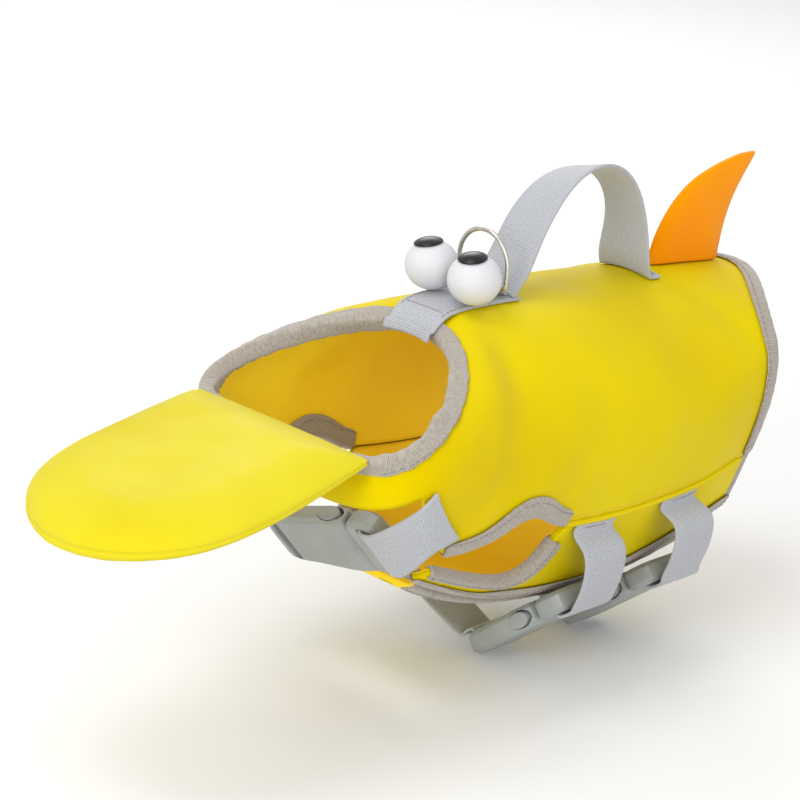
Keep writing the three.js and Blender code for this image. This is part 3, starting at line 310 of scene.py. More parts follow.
# %% [markdown]
# The straps are polyester webbing. Thick weft yarns cross it every 1.3 mm and show as fine uneven
# ribs, mottled light and dark, and a smoother selvedge runs along both edges. The pattern has to
# follow the strap round its bends, so it reads the strap's own UV map: along the strap in u and
# across it in v, both in metres, with the middle of the strap at v = 0.

# %% Webbing
def woven_ribs(name, light, middle, dark, pitch, edge, selvedge_and_highlight_colour, uneven=1.1, depth=0.00022):
    material, shader = start_material(name, 0.72, sheen=0.25, sheen_tint="#FFFFFF", ior=1.48)
    run = add(material, "UVMap", {"uv_map": "run"}).outputs["UV"]
    split = add(material, "SeparateXYZ", Vector=run)
    settings = {"wave_type": "BANDS", "bands_direction": "X", "wave_profile": "SIN"}
    ribs = add(
        material, "TexWave", settings, Vector=run, Scale=bands_every(pitch),
        Distortion=uneven, Detail=2.0, Detail_Scale=0.7, Detail_Roughness=0.6,
    ).outputs["Fac"]
    stretched = add(material, "Mapping", Vector=run, Scale=(900, 700, 1)).outputs["Vector"]
    yarns = add(material, "TexNoise", Vector=stretched, Scale=1.0, Detail=2.0, Roughness=0.7).outputs["Fac"]
    weave = total(material, total(material, ribs, 0.32, "MULTIPLY"), total(material, yarns, 0.95, "MULTIPLY"))
    tone = ramp(material, weave, [(0.36, dark), (0.56, middle), (0.76, light)])
    distance = add(material, "Math", {"operation": "ABSOLUTE"})
    material.node_tree.links.new(split.outputs["Y"], distance.inputs[0])
    # Near the edge the colour turns to the edge colour: on webbing that is its real smoother edge, on binding
    # tape it is a painted highlight along the fold.
    limits = {"From_Min": edge[0] * MM, "From_Max": edge[1] * MM}
    selvedge_and_fold_highlight = add(material, "MapRange", Value=distance.outputs[0], **limits).outputs["Result"]
    mixed = add(material, "Mix", {"data_type": "RGBA"})
    colours = [s for s in mixed.inputs if s.type == "RGBA"]
    material.node_tree.links.new(selvedge_and_fold_highlight, mixed.inputs[0])
    material.node_tree.links.new(tone, colours[0])
    colours[1].default_value = colour(selvedge_and_highlight_colour)
    result = next(s for s in mixed.outputs if s.type == "RGBA")
    material.node_tree.links.new(result, shader.inputs["Base Color"])
    wear_bump(material, shader, weave, depth, 0.8)
    return material


webbing = woven_ribs("polyester_webbing_grey", "#AEB0B5", "#9D9FA5", "#8D8F95", 1.3, (14.4, 16.4), "#A4A6AB")
print("webbing ribs every 1.3 mm")

# %% [markdown]
# The edges are bound with soft knitted tape, folded over and sewn. It is warmer than the straps,
# its ribs are finer, and where it turns over the cloth's edge it catches yellow light, so the fold
# is painted nearly cream, a painted highlight. The same recipe serves with other numbers: v is the distance
# from the fold.

# %% Binding tape
binding = woven_ribs(
    "knitted_binding_tape", "#A89F93", "#918A80", "#79736A", 1.0, (2.1, 0.5), "#E2D08C",
    uneven=2.0, depth=0.0001,
)

# %% [markdown]
# The eyes are closed-cell foam balls: matt, very white, with tiny pores. The pupils are discs of
# glossy black vinyl. The buckles are moulded acetal, a hard slippery plastic with a satin skin and
# a fine spark-eroded grain. The ring is nickel-plated steel wire. All thread is spun polyester.

# %% Foam, vinyl, acetal, steel and thread
def pored_foam():
    material, shader = start_material("closed_cell_foam_white", 0.62, sheen=0.1, ior=1.45)
    place = add(material, "TexCoord").outputs["Object"]
    pores = add(material, "TexVoronoi", Vector=place, Scale=900.0).outputs["Distance"]
    tone = ramp(material, pores, [(0.0, "#BDBDC0"), (0.4, "#CBCBCE")])
    material.node_tree.links.new(tone, shader.inputs["Base Color"])
    wear_bump(material, shader, pores, 0.00012, 0.4)
    return material


def glossy_vinyl():
    material, shader = start_material("black_vinyl", 0.3, ior=1.4)
    place = add(material, "TexCoord").outputs["Object"]
    smear = add(material, "TexNoise", Vector=place, Scale=160.0, Detail=2.0).outputs["Fac"]
    tone = ramp(material, smear, [(0.3, "#060607"), (0.8, "#101012")])
    material.node_tree.links.new(tone, shader.inputs["Base Color"])
    wear_bump(material, shader, smear, 0.0001, 0.2)
    return material


def moulded_acetal():
    material, shader = start_material("moulded_acetal_grey", 0.42, ior=1.48)
    place = add(material, "TexCoord").outputs["Object"]
    flow = add(material, "TexNoise", Vector=place, Scale=45.0, Detail=2.0).outputs["Fac"]
    tone = ramp(material, flow, [(0.3, "#8E9290"), (0.7, "#9DA19F")])
    material.node_tree.links.new(tone, shader.inputs["Base Color"])
    grain = add(material, "TexNoise", Vector=place, Scale=2200.0, Detail=2.0).outputs["Fac"]
    wear_bump(material, shader, grain, 0.00006, 0.5)
    rough = add(material, "MapRange", Value=flow, From_Min=0.3, From_Max=0.7, To_Min=0.36, To_Max=0.48)
    material.node_tree.links.new(rough.outputs["Result"], shader.inputs["Roughness"])
    return material


def plated_wire():
    material, shader = start_material("nickel_plated_wire", 0.28, metallic=1.0)
    place = add(material, "TexCoord").outputs["Object"]
    rub = add(material, "TexNoise", Vector=place, Scale=300.0, Detail=3.0).outputs["Fac"]
    tone = ramp(material, rub, [(0.3, "#B9B4AA"), (0.7, "#D2CEC6")])
    material.node_tree.links.new(tone, shader.inputs["Base Color"])
    rough = add(material, "MapRange", Value=rub, From_Min=0.3, From_Max=0.7, To_Min=0.22, To_Max=0.4)
    material.node_tree.links.new(rough.outputs["Result"], shader.inputs["Roughness"])
    return material


def spun_thread(name, light, dark):
    material, shader = start_material(name, 0.7, sheen=0.2)
    place = add(material, "TexCoord").outputs["Object"]
    twist = add(material, "TexNoise", Vector=place, Scale=1800.0, Detail=1.0).outputs["Fac"]
    tone = ramp(material, twist, [(0.35, dark), (0.65, light)])
    material.node_tree.links.new(tone, shader.inputs["Base Color"])
    wear_bump(material, shader, twist, 0.0001, 0.6)
    return material


foam_white = pored_foam()
vinyl_black = glossy_vinyl()
acetal_grey = moulded_acetal()
steel_wire = plated_wire()
thread_grey = spun_thread("spun_thread_grey", "#8E8A85", "#6C6864")
thread_yellow = spun_thread("spun_thread_yellow", "#E2C400", "#C9A800")
print("materials:", len(bpy.data.materials))

# %% [markdown]
# A sewn piece is made from a copy of its plain solid. The solid is loose triangles, so doubles are
# merged and triangles joined to quads. Its hard edges are found by angle and given a crease, so
# that the subdivision which rounds the faces leaves the wall its thickness and its cut edge.

# %% Take a copy of a plain piece and round it
HARD = math.radians(50)
SAME_PLACE = 0.00001
FLAT_ENOUGH = math.radians(40)
ANY_SHAPE = math.radians(180)


def copy_of(node, name):
    source = nodes[node]
    bpy.ops.object.select_all(action="DESELECT")
    piece = source.copy()
    piece.data = source.data.copy()
    piece.name = name
    piece.data.name = name
    scene.collection.objects.link(piece)
    if piece.parent:
        place = piece.matrix_world.copy()
        piece.parent = None
        piece.matrix_world = place
    piece.hide_render = False
    pick(piece, lambda v: True)
    bpy.ops.mesh.remove_doubles(threshold=SAME_PLACE)
    bpy.ops.mesh.select_all(action="SELECT")
    bpy.ops.mesh.tris_convert_to_quads(face_threshold=FLAT_ENOUGH, shape_threshold=ANY_SHAPE)
    leave_edit()
    return piece


def mesh_of_line(name, places, radius, rings):
    """A round bead down a line of places, made as a curve and turned into a mesh."""
    shape = bpy.data.curves.new(name, "CURVE")
    shape.dimensions = "3D"
    shape.bevel_depth = radius * MM
    shape.bevel_resolution = rings
    shape.use_fill_caps = True
    line = shape.splines.new("POLY")
    line.points.add(len(places) - 1)
    for spot, place in zip(line.points, places):
        spot.co = (*place, 1)
    bead = bpy.data.objects.new(name, shape)
    scene.collection.objects.link(bead)
    choose(bead)
    bpy.ops.object.convert(target="MESH")
    return bpy.context.object


def crease_hard_edges(piece, amount, angle=HARD):
    pick(piece, lambda e: len(e.link_faces) == 2 and e.calc_face_angle() > angle, "EDGE")
    bpy.ops.transform.edge_crease(value=amount)
    leave_edit()


def apply_modifier(piece, kind, **settings):
    choose(piece)
    modifier = piece.modifiers.new(kind.lower(), kind)
    for key, value in settings.items():
        setattr(modifier, key, value)
    bpy.ops.object.modifier_apply(modifier=modifier.name)


def smooth_faces(piece, angle=None):
    choose(piece)
    if angle is None:
        bpy.ops.object.shade_smooth()
    else:
        bpy.ops.object.shade_smooth_by_angle(angle=math.radians(angle))


def dress(piece, node_names, material, body="jacket"):
    """Gives a piece its finish, hangs it on its body and hides the plain pieces it stands for."""
    piece.data.materials.clear()
    piece.data.materials.append(material)
    for face in piece.data.polygons:
        face.material_index = 0
    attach(piece, body)
    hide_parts(*node_names)
    return piece


# %% [markdown]
# Creases are placed one by one. Each is a short line beside the body with a width and a height: a
# ridge stands out and a trough sinks in, both soft and tapering to their ends. A crease is felt as
# far as REACH times its width. Cloth, tape and webbing all read the same table, so what is sewn
# together bends together. They are uneven on purpose, and the far side has its own, which are like
# the near side's but not the same.

# %% Creases
AXIS_Z = -0.070
REACH = 3
CREASES = [
    # from x, y, z, to x, y, z, width, height, all in mm
    (62, -96, -4, 84, -128, -58, 9, 1.5),
    (46, -84, 2, 70, -84, -22, 10, -1.0),
    (85, -140, -66, 87, -96, -60, 9, -1.3),
    (84, -134, -88, 87, -112, -62, 6, 0.9),
    (87, -70, -80, 87, -36, -48, 10, -1.1),
    (30, 62, 6, 78, 30, -32, 13, -1.4),
    (26, 84, 4, 72, 104, -26, 11, -1.2),
    (34, -34, 8, 72, -14, -22, 14, 0.9),
    (84, 40, -60, 82, 92, -72, 12, -1.0),
    (82, 78, -40, 74, 128, -30, 9, 1.0),
    (86, -18, -88, 85, 40, -92, 8, 0.8),
    (0, 8, 8, 22, 30, 6, 10, -0.9),
    (-60, -98, -4, -84, -124, -52, 10, 1.3),
    (-44, -86, 2, -72, -82, -26, 9, -1.0),
    (-85, -136, -70, -87, -100, -66, 9, -1.2),
    (-28, 66, 6, -76, 36, -30, 12, -1.3),
    (-24, 86, 4, -70, 108, -30, 12, -1.0),
    (-36, -30, 8, -70, -6, -24, 13, 0.8),
    (-84, 30, -58, -82, 84, -70, 12, -1.1),
    (-80, 84, -44, -72, 130, -34, 9, 0.9),
    (-40, -40, -142, -10, 30, -154, 16, -1.3),
    (6, -70, -134, 28, -20, -146, 12, 1.0),
    (-30, 60, -150, 10, 84, -152, 11, -1.0),
]


def crease_height(point):
    height = 0.0
    for x0, y0, z0, x1, y1, z1, width, tall in CREASES:
        start = Vector((x0, y0, z0)) * MM
        span = Vector((x1, y1, z1)) * MM - start
        share = (point - start).dot(span) / span.length_squared
        inside = min(max(share, 0.0), 1.0)
        away = (point - start - span * inside).length / (width * MM)
        if away < REACH:
            taper = 0.55 + 0.45 * math.sin(math.pi * inside)
            height += tall * MM * taper * math.exp(-away * away)
    return height


def outwards(point):
    """Straight out from the middle of the body."""
    return Vector((point.x, 0, point.z - AXIS_Z)).normalized()


def bend_with_creases(piece):
    for vertex in piece.data.vertices:
        vertex.co += outwards(vertex.co) * crease_height(vertex.co)
    piece.data.update()


# %% [markdown]
# A strap's UV map needs its length, measured round its bends. Seen from its edge a strap is a thin
# bent line, so the way across is left out. Steps along the mesh from one end then give each corner
# its distance. Corners at a like distance form a band, the middles of the bands make a line down
# the strap, and each corner takes its place from that line.

# %% Lines down a strap or an edge
END_FACE = 2 * MM
FAR = 1e9
OVERRUN = 20 * MM
FEWEST_POINTS = 12


def walk(mesh, flat, first):
    """How far each corner is from the first one, along the mesh's edges."""
    walked = {i: 0.0 for i, p in enumerate(flat) if (p - flat[first]).length < END_FACE}
    edge = list(walked)
    while edge:
        edge.sort(key=walked.get)
        here = mesh.verts[edge.pop(0)]
        for link in here.link_edges:
            other = link.other_vert(here).index
            reach = walked[here.index] + (flat[other] - flat[here.index]).length
            if reach < walked.get(other, FAR) - 1e-7:
                walked[other] = reach
                edge.append(other)
    return walked


def line_down(piece, across, every=3.0):
    """Points down the middle of a strap, from one end to the other. Steps across it cost nothing."""
    mesh = bmesh.new()
    mesh.from_mesh(piece.data)
    mesh.verts.ensure_lookup_table()
    side = Vector(across).normalized()
    flat = [v.co - side * v.co.dot(side) for v in mesh.verts]
    first = 0
    for _ in range(2):
        walked = walk(mesh, flat, first)
        first = max(walked, key=walked.get)
    walked = walk(mesh, flat, first)
    mesh.free()
    bands = {}
    for index, distance in walked.items():
        bands.setdefault(round(distance / (every * MM)), []).append(flat[index])
    line = [sum(bands[key], Vector()) / len(bands[key]) for key in sorted(bands)]
    for _ in range(2):
        inner = [(a + b * 2 + c) / 4 for a, b, c in zip(line, line[1:], line[2:])]
        line = [line[0], *inner, line[-1]]
    before = line[0] + (line[0] - line[1]).normalized() * OVERRUN
    after = line[-1] + (line[-1] - line[-2]).normalized() * OVERRUN
    return [before, *line, after]


def line_length(line):
    return sum((b - a).length for a, b in zip(line, line[1:]))


def rim_lines(node):
    """The cut edges of a plain panel, each a line of points that ends where it starts, longest first."""
    mesh = bmesh.new()
    mesh.from_mesh(nodes[node].data)
    bmesh.ops.remove_doubles(mesh, verts=mesh.verts, dist=SAME_PLACE)
    mesh.edges.index_update()
    hard = {e.index: e for e in mesh.edges if len(e.link_faces) == 2 and e.calc_face_angle() > HARD}
    meeting = {}
    for edge in hard.values():
        for vertex in edge.verts:
            meeting[vertex.index] = meeting.get(vertex.index, 0) + 1
    # An edge that runs through the wall at a corner joins two rims, so it is left out.
    hard = {i: e for i, e in hard.items() if min(meeting[v.index] for v in e.verts) < 3}
    lines = []
    while hard:
        first = hard.pop(next(iter(hard)))
        line = [first.verts[0], first.verts[1]]
        while True:
            follow = [e for e in line[-1].link_edges if e.index in hard]
            if not follow:
                break
            here = line[-1]
            travel = (here.co - line[-2].co).normalized()
            straight = max(follow, key=lambda e: (e.other_vert(here).co - here.co).normalized().dot(travel))
            hard.pop(straight.index)
            line.append(straight.other_vert(here))
        if len(line) > FEWEST_POINTS:
            lines.append([v.co.copy() for v in line])
    mesh.free()
    return sorted(lines, key=lambda line: -line_length(line))


def along_line(line, point):
    """How far down a line the nearest place to a point is, and how far off it the point is."""
    nearest = FAR
    found = 0.0
    walked = 0.0
    for a, b in zip(line, line[1:]):
        span = b - a
        share = min(max((point - a).dot(span) / max(span.length_squared, 1e-12), 0.0), 1.0)
        away = (point - a - span * share).length
        if away < nearest:
            nearest = away
            found = walked + share * span.length
        walked += span.length
    return found, nearest


def even_width(places, band=6 * MM):
    """A strap is equally wide all along, so each short band of it is stretched to its full width."""
    spread = {}
    for along, place in places:
        spread.setdefault(round(along / band), []).append(place)
    ends = {key: (min(found), max(found)) for key, found in spread.items()}
    full = 0.5 * max(high - low for low, high in ends.values())
    fitted = []
    for along, place in places:
        low, high = ends[round(along / band)]
        half = max((high - low) / 2, full / 2)
        fitted.append((along, (place - (low + high) / 2) / half * full))
    return fitted


def lay_run_map(piece, line, across=None):
    """UV map with the length along a line in u. v is the place across, or the distance from the line."""
    length = line_length(line)
    corners = [v.co for v in piece.data.vertices]
    if across:
        side = Vector(across).normalized()
        places = [co.dot(side) for co in corners]
        found = [(along_line(line, co - side * place)[0], place) for co, place in zip(corners, places)]
        found = even_width(found)
    else:
        found = [along_line(line, co) for co in corners]
    while piece.data.uv_layers:
        piece.data.uv_layers.remove(piece.data.uv_layers[0])
    layer = piece.data.uv_layers.new(name="run")
    for face in piece.data.polygons:
        corners = [found[piece.data.loops[i].vertex_index] for i in face.loop_indices]
        low = min(c[0] for c in corners)
        for i, (along, away) in zip(face.loop_indices, corners):
            if along - low > length / 2:
                along -= length
            layer.data[i].uv = (along, away)


# %% [markdown]
# The back panel is the main form: two layers of coated cloth over 6 mm foam, cut in one with the
# ring round the neck.

# %% Cloth panels
INWARDS = -0.25


def cloth_panel(node, name):
    panel = copy_of(node, name)
    crease_hard_edges(panel, 0.6)
    apply_modifier(panel, "SUBSURF", levels=2, render_levels=2)
    bend_with_creases(panel)
    smooth_faces(panel, 60)
    dress(panel, [node], yellow_cloth)
    # Faces that look inwards get the inside cloth, which is painted lighter as painted light for the inside.
    panel.data.materials.append(inside_cloth_painted_light)
    for face in panel.data.polygons:
        if face.normal.dot(outwards(face.center)) < INWARDS:
            face.material_index = 1
    return panel


back_panel = cloth_panel("back_panel", "back_panel_cloth")
left_flap = cloth_panel("belly_flap_left", "belly_flap_cloth")
right_panel = cloth_panel("belly_panel_right", "belly_panel_cloth")

# %% [markdown]
# The binding tape is knitted, so it gathers where it is stretched on at the sewing machine. Round
# the neck it draws in every 34 mm or so, and its fold makes small scallops. The tape is a copy of
# its solid with a UV map along the panel's cut edge; waves of uneven height then push the fold
# out into the opening and puff the tape between its tight spots, never in towards the cloth.

# %% Binding tape, gathered at the neck
panel_rims = rim_lines("back_panel")
print("rims in mm:", [round(line_length(rim) / MM) for rim in panel_rims])


def nearest_rim(piece, rims):
    """The rim that runs closest to a tape all along it."""
    sample = [v.co for v in piece.data.vertices][::7]
    return min(rims, key=lambda rim: sum(along_line(rim, p)[1] for p in sample))


FOLD_REACH = 5 * MM


def gather(piece, line, pitch, scallop, puff):
    """Scallops: the fold's corners move away from the cloth, and the faces puff out."""
    normals = [v.normal.copy() for v in piece.data.vertices]
    for vertex, normal in zip(piece.data.vertices, normals):
        along, away = along_line(line, vertex.co)
        turn = along / (pitch * MM) * 2 * math.pi
        wave = 0.5 + 0.32 * math.sin(turn) + 0.18 * math.sin(1.62 * turn + 1.3)
        wave *= 0.55 + 0.45 * math.sin(0.23 * turn + 0.6)
        at_fold = max(0.0, 1 - away / FOLD_REACH)
        tight = 0.5 + 0.5 * math.sin(2.9 * turn + 2 * math.sin(0.7 * turn))
        vertex.co += normal * MM * (scallop * wave * at_fold + puff * tight * (1 - at_fold))
    piece.data.update()


def bound_edge(node, rims, name, pitch=17, scallop=0.5, puff=0.25):
    tape = copy_of(node, name)
    rim = nearest_rim(tape, rims)
    lay_run_map(tape, rim)
    crease_hard_edges(tape, 0.35)
    apply_modifier(tape, "SUBSURF", levels=2, render_levels=2)
    bend_with_creases(tape)
    gather(tape, rim, pitch, scallop, puff)
    smooth_faces(tape, 60)
    dress(tape, [node], binding)
    return tape


flap_rims = rim_lines("belly_flap_left")
belly_rims = rim_lines("belly_panel_right")
tapes = {
    "neck_tape": bound_edge("neck_tape", panel_rims, "neck_binding", pitch=34, scallop=3.4, puff=0.6),
    "hem_tape": bound_edge("hem_tape", panel_rims, "hem_binding", pitch=26, scallop=0.9),
    "armhole_tape_left": bound_edge("armhole_tape_left", panel_rims, "armhole_binding_left", scallop=0.8),
    "armhole_tape_right": bound_edge("armhole_tape_right", panel_rims, "armhole_binding_right", scallop=0.8),
    "belly_arm_tape_left": bound_edge("belly_arm_tape_left", flap_rims, "flap_arm_binding", puff=0.1),
    "belly_edge_tape_left": bound_edge("belly_edge_tape_left", flap_rims, "flap_edge_binding", puff=0.1),
    "belly_arm_tape_right": bound_edge("belly_arm_tape_right", belly_rims, "belly_arm_binding", puff=0.1),
    "belly_edge_tape_right": bound_edge("belly_edge_tape_right", belly_rims, "belly_edge_binding", puff=0.1),
}
print("tapes:", len(tapes))


REAR_END = 0.1
OVER_THE_EDGE = Vector((0, 1.6 * MM, 0))


def rear_binding(rims, name, wide=4.6, thick=0.6):
    """The tape also turns round the rear end of a belly piece, as one squashed bead over its edge."""
    outer = [p for p in rims[0][:-1] if p.y > REAR_END]
    outer.sort(key=lambda p: math.atan2(p.z - AXIS_Z, p.x))
    middle = [(p + min(rims[1], key=lambda q: (q - p).length)) / 2 - OVER_THE_EDGE for p in outer]
    tape = mesh_of_line(name, middle, wide, 4)
    for vertex in tape.data.vertices:
        centre = min(middle, key=lambda q: (q - vertex.co).length)
        out = outwards(centre)
        vertex.co -= out * (vertex.co - centre).dot(out) * (1 - thick)
    tape.data.update()
    lay_run_map(tape, middle)
    bend_with_creases(tape)
    smooth_faces(tape, 60)
    print(name, "mm long:", round(line_length(middle) / MM))
    return dress(tape, [], binding)


rear_binding(flap_rims, "flap_rear_binding")
rear_binding(belly_rims, "belly_rear_binding")

# %% [markdown]
# The beak and the fin are foam tongues in sewn covers. Each is a copy of its solid, rounded by
# subdivision. A shallow groove runs round the middle of the edge, where two covers meet and the
# seam draws in. The beak's top swells away from its edge, as foam does under a tight cover.

# %% Beak and fin
BEAK_ROOT = -194.2
BEAK_ROWS = [
    # how far from the root, height of the middle plane and half the width, all in mm
    (0, -37.5, 64), (13, -40.5, 65.5), (32, -45, 66.5), (55, -50, 67.3), (78, -54, 67), (96, -57, 63.5),
    (111, -59.5, 57), (124, -61.5, 46), (133, -63, 34), (138.5, -64, 21), (141.5, -64.8, 9),
]
left_side = [Vector((half, BEAK_ROOT - reach, 0)) * MM for reach, _, half in BEAK_ROWS]
right_side = [Vector((-p.x, p.y, 0)) for p in reversed(left_side)]
BEAK_OUTLINE = [*left_side, *right_side, left_side[0]]
CROWN = 7.5
SHOULDER = 27
SEAM_WIDTH = 0.9
SIDEWAYS = 0.3


def beak_middle(point):
    """Height above the beak's middle plane, which droops towards its tip."""
    reach = BEAK_ROOT - point.y / MM
    for (a, low, _), (b, high, _) in zip(BEAK_ROWS, BEAK_ROWS[1:]):
        if reach <= b or b == BEAK_ROWS[-1][0]:
            return point.z - (low + (high - low) * (reach - a) / (b - a)) * MM


def beak_crown(point, normal):
    """The top swells away from the beak's outline, steeply at first, and lies level in the middle."""
    facing_up = min(1.0, max(0.0, (normal.z - 0.2) / 0.5))
    away = along_line(BEAK_OUTLINE, Vector((point.x, point.y, 0)))[1]
    share = min(1.0, away / (SHOULDER * MM))
    return Vector((0, 0, CROWN * MM * facing_up * (1 - (1 - share) ** 1.6)))


def padded_tongue(node, name, material, seam_of, half, draw, crown_of=None):
    """seam_of gives how far a point is from the seam's plane, crown_of how the padding lifts it."""
    tongue = copy_of(node, name)
    crease_hard_edges(tongue, 0.45)
    apply_modifier(tongue, "SUBSURF", levels=3, render_levels=3)
    normals = [v.normal.copy() for v in tongue.data.vertices]
    for vertex, normal in zip(tongue.data.vertices, normals):
        off = seam_of(vertex.co)
        facing = 1 - abs(normal.dot(half))
        if crown_of:
            vertex.co += crown_of(vertex.co, normal)
        if facing > SIDEWAYS:
            drawn = draw * MM * math.exp(-((off / (SEAM_WIDTH * MM)) ** 2)) * min(1, (facing - SIDEWAYS) * 3)
            vertex.co -= normal * drawn
    tongue.data.update()
    smooth_faces(tongue)
    dress(tongue, [node], material)
    return tongue


UP = Vector((0, 0, 1))
LEFT = Vector((1, 0, 0))
beak = padded_tongue("beak", "beak_cover", beak_cloth_painted_sheen, beak_middle, UP, 0.7, beak_crown)
fin = padded_tongue("fin", "fin_cover", orange_cloth, lambda p: p.x, LEFT, 0.5)
print("beak faces", len(beak.data.polygons), "fin faces", len(fin.data.polygons))

# %% [markdown]
# Straps are modelled directly: a copy of the solid with hard edges creased, rounded by subdivision,
# and a UV map that follows it. The table says which way is across each strap.

# %% Straps
CHEST_ACROSS = (0, 0.45, -0.9)
STRAPS = {
    "spine_webbing": (1, 0, 0),
    "handle": (1, 0, 0),
    "ring_keeper": (1, 0, 0),
    "front_strap_left": (0, 1, 0),
    "rear_strap_left": (0, 1, 0),
    "front_strap_right": (0, 1, 0),
    "rear_strap_right": (0, 1, 0),
    "chest_strap_left": CHEST_ACROSS,
    "chest_strap_right": CHEST_ACROSS,
}
straps = {}
for node, across in STRAPS.items():
    strap = copy_of(node, node + "_woven")
    lay_run_map(strap, line_down(strap, across), across)
    crease_hard_edges(strap, 0.9, math.radians(60))
    apply_modifier(strap, "SUBSURF", levels=2, render_levels=2)
    bend_with_creases(strap)
    smooth_faces(strap, 50)
    dress(strap, [node], webbing)
    straps[node] = strap
print("straps:", len(straps))

# %% [markdown]
# The eyes are balls with a disc let into the top. The plain ball is faceted, so a copy is rounded.
# The disc's rim gets a light crease, so that it stays a disc with a soft edge.

# %% Eyes
def eye(side):
    ball = copy_of("eye_ball_" + side, "eye_foam_" + side)
    disc = copy_of("pupil_" + side, "pupil_disc_" + side)
    apply_modifier(ball, "SUBSURF", levels=2, render_levels=2)
    crease_hard_edges(disc, 0.3)
    apply_modifier(disc, "SUBSURF", levels=2, render_levels=2)
    smooth_faces(ball)
    smooth_faces(disc)
    dress(ball, ["eye_ball_" + side], foam_white)
    dress(disc, ["pupil_" + side], vinyl_black)
    return ball, disc


eyes = [eye(side) for side in ("left", "right")]
print("eye faces", [len(thing.data.polygons) for pair in eyes for thing in pair])

# %% [markdown]
# The side-release buckles are moulded: every edge has a small radius. The solids already have the
# body, the pockets and the arms with their buttons, so a copy gets a narrow bevel by angle, and
# shading is smooth across all but the hard edges.

# %% Buckles and ring
EDGE_RADIUS = 0.0005


def moulded(node):
    part = copy_of(node, node + "_moulded")
    pick(part, lambda v: True)
    bpy.ops.mesh.dissolve_limited(angle_limit=math.radians(3))
    leave_edit()
    sharp = math.radians(32)
    apply_modifier(part, "BEVEL", width=EDGE_RADIUS, segments=3, limit_method="ANGLE", angle_limit=sharp)
    smooth_faces(part, 35)
    return dress(part, [node], acetal_grey)


halves = [f"{place}_buckle_{half}" for place in ("chest", "front", "rear") for half in ("socket", "plug")]
buckles = [moulded(half) for half in halves]
ring = copy_of("d_ring", "lead_ring_wire")
apply_modifier(ring, "SUBSURF", levels=2, render_levels=2)
smooth_faces(ring)
dress(ring, ["d_ring"], steel_wire, body="lead_ring")
print("buckle faces", [len(b.data.polygons) for b in buckles])

# %% [markdown]
# The back panel is sewn to the belly pieces with its edge turned under, which leaves a soft roll
# along each side seam. It closes the slit between the cloths and hides where the straps go in.
# It is a curve with a round section, drawn down the panel's own cut edge and made a mesh.

# %% Side seams
SEAM_FROM = -0.067
SEAM_TO = 0.104
SEAM_BELOW = -0.078
SEAM_OUTSIDE = 0.06


def seam_edge(side):
    """The panel's outer cut edge from the armhole to the hem, on one side, front to back."""
    low = [p for p in panel_rims[0] if p.x * side > SEAM_OUTSIDE and p.z < SEAM_BELOW]
    return sorted((p for p in low if SEAM_FROM < p.y < SEAM_TO), key=lambda p: p.y)


def seam_roll(side, word, radius=1.8):
    """A bead that stands a little way out from the panel's edge."""
    edge = [place + outwards(place) * 0.1 * MM for place in seam_edge(side)]
    roll = mesh_of_line("seam_roll_" + word, edge, radius, 3)
    bend_with_creases(roll)
    smooth_faces(roll)
    return dress(roll, [], yellow_cloth)


for side, word in ((1, "left"), (-1, "right")):
    seam_roll(side, word)
print("seam lengths in mm:", [round(line_length(seam_edge(side)) / MM) for side in (1, -1)])

# %% [markdown]
# All of it is held by lockstitch, and rows of stitches are what make cloth look sewn. One stitch is
# modelled once, a short thread that dives in at both ends. Rows are then laid by dropping points on
# the finished cloth from outside, so each stitch lies on the surface and follows its dents.

# %% One stitch
STITCH_LENGTH = 2.5
THREAD = 0.55
SUNK = 0.35


def one_stitch():
    bpy.ops.object.select_all(action="DESELECT")
    bpy.ops.mesh.primitive_cylinder_add(vertices=6, radius=THREAD / 2 * MM, depth=STITCH_LENGTH * MM)
    stitch = bpy.context.object
    stitch.name = "one_stitch"
    pick(stitch, lambda f: abs(f.normal.z) > 0.9, "FACE")
    bpy.ops.mesh.inset(thickness=THREAD / 5 * MM, depth=THREAD / 5 * MM)
    leave_edit()
    pick(stitch, lambda e: abs(e.verts[0].co.z - e.verts[1].co.z) > 1.5 * MM, "EDGE")
    bpy.ops.mesh.subdivide(number_cuts=2)
    leave_edit()
    for vertex in stitch.data.vertices:
        share = vertex.co.z / (STITCH_LENGTH / 2 * MM)
        vertex.co.x -= SUNK * THREAD * MM * share * share
    return stitch


stitch = one_stitch()
print("stitch faces", len(stitch.data.polygons))

# %% [markdown]
# A row needs a place, a direction of travel and the surface's normal for each stitch. Rows beside a
# cut edge walk down the edge and step in from it; straight rows go from point to point.

# %% Rows of stitches
FROM_OUTSIDE = 14 * MM
DEEPEST = 26 * MM
BESIDE = 7 * MM
HALF_WAY_IN = 6 * MM
PROUD = 0.14 * MM
LEANING = -0.3
surfaces = {}


def surface(piece):
    if piece.name not in surfaces:
        mesh = bmesh.new()
        mesh.from_mesh(piece.data)
        surfaces[piece.name] = BVHTree.FromBMesh(mesh)
        mesh.free()
    return surfaces[piece.name]


def stations(line, pitch):
    """Places every pitch mm down a line, with the direction of travel there."""
    found = []
    left = pitch * MM / 2
    for a, b in zip(line, line[1:]):
        span = b - a
        length = span.length
        while left <= length and length > 0:
            found.append((a + span * (left / length), span.normalized()))
            left += pitch * MM
        left -= length
    return found


def drop(tree, spot, look, travel):
    """Drops a point on a surface along look. Surfaces that lean away too far get no stitch."""
    hit, normal, _, _ = tree.ray_cast(spot - look * FROM_OUTSIDE, look, DEEPEST)
    if hit is None or normal.dot(look) > LEANING:
        return None
    return hit, normal, (travel - normal * travel.dot(normal)).normalized()


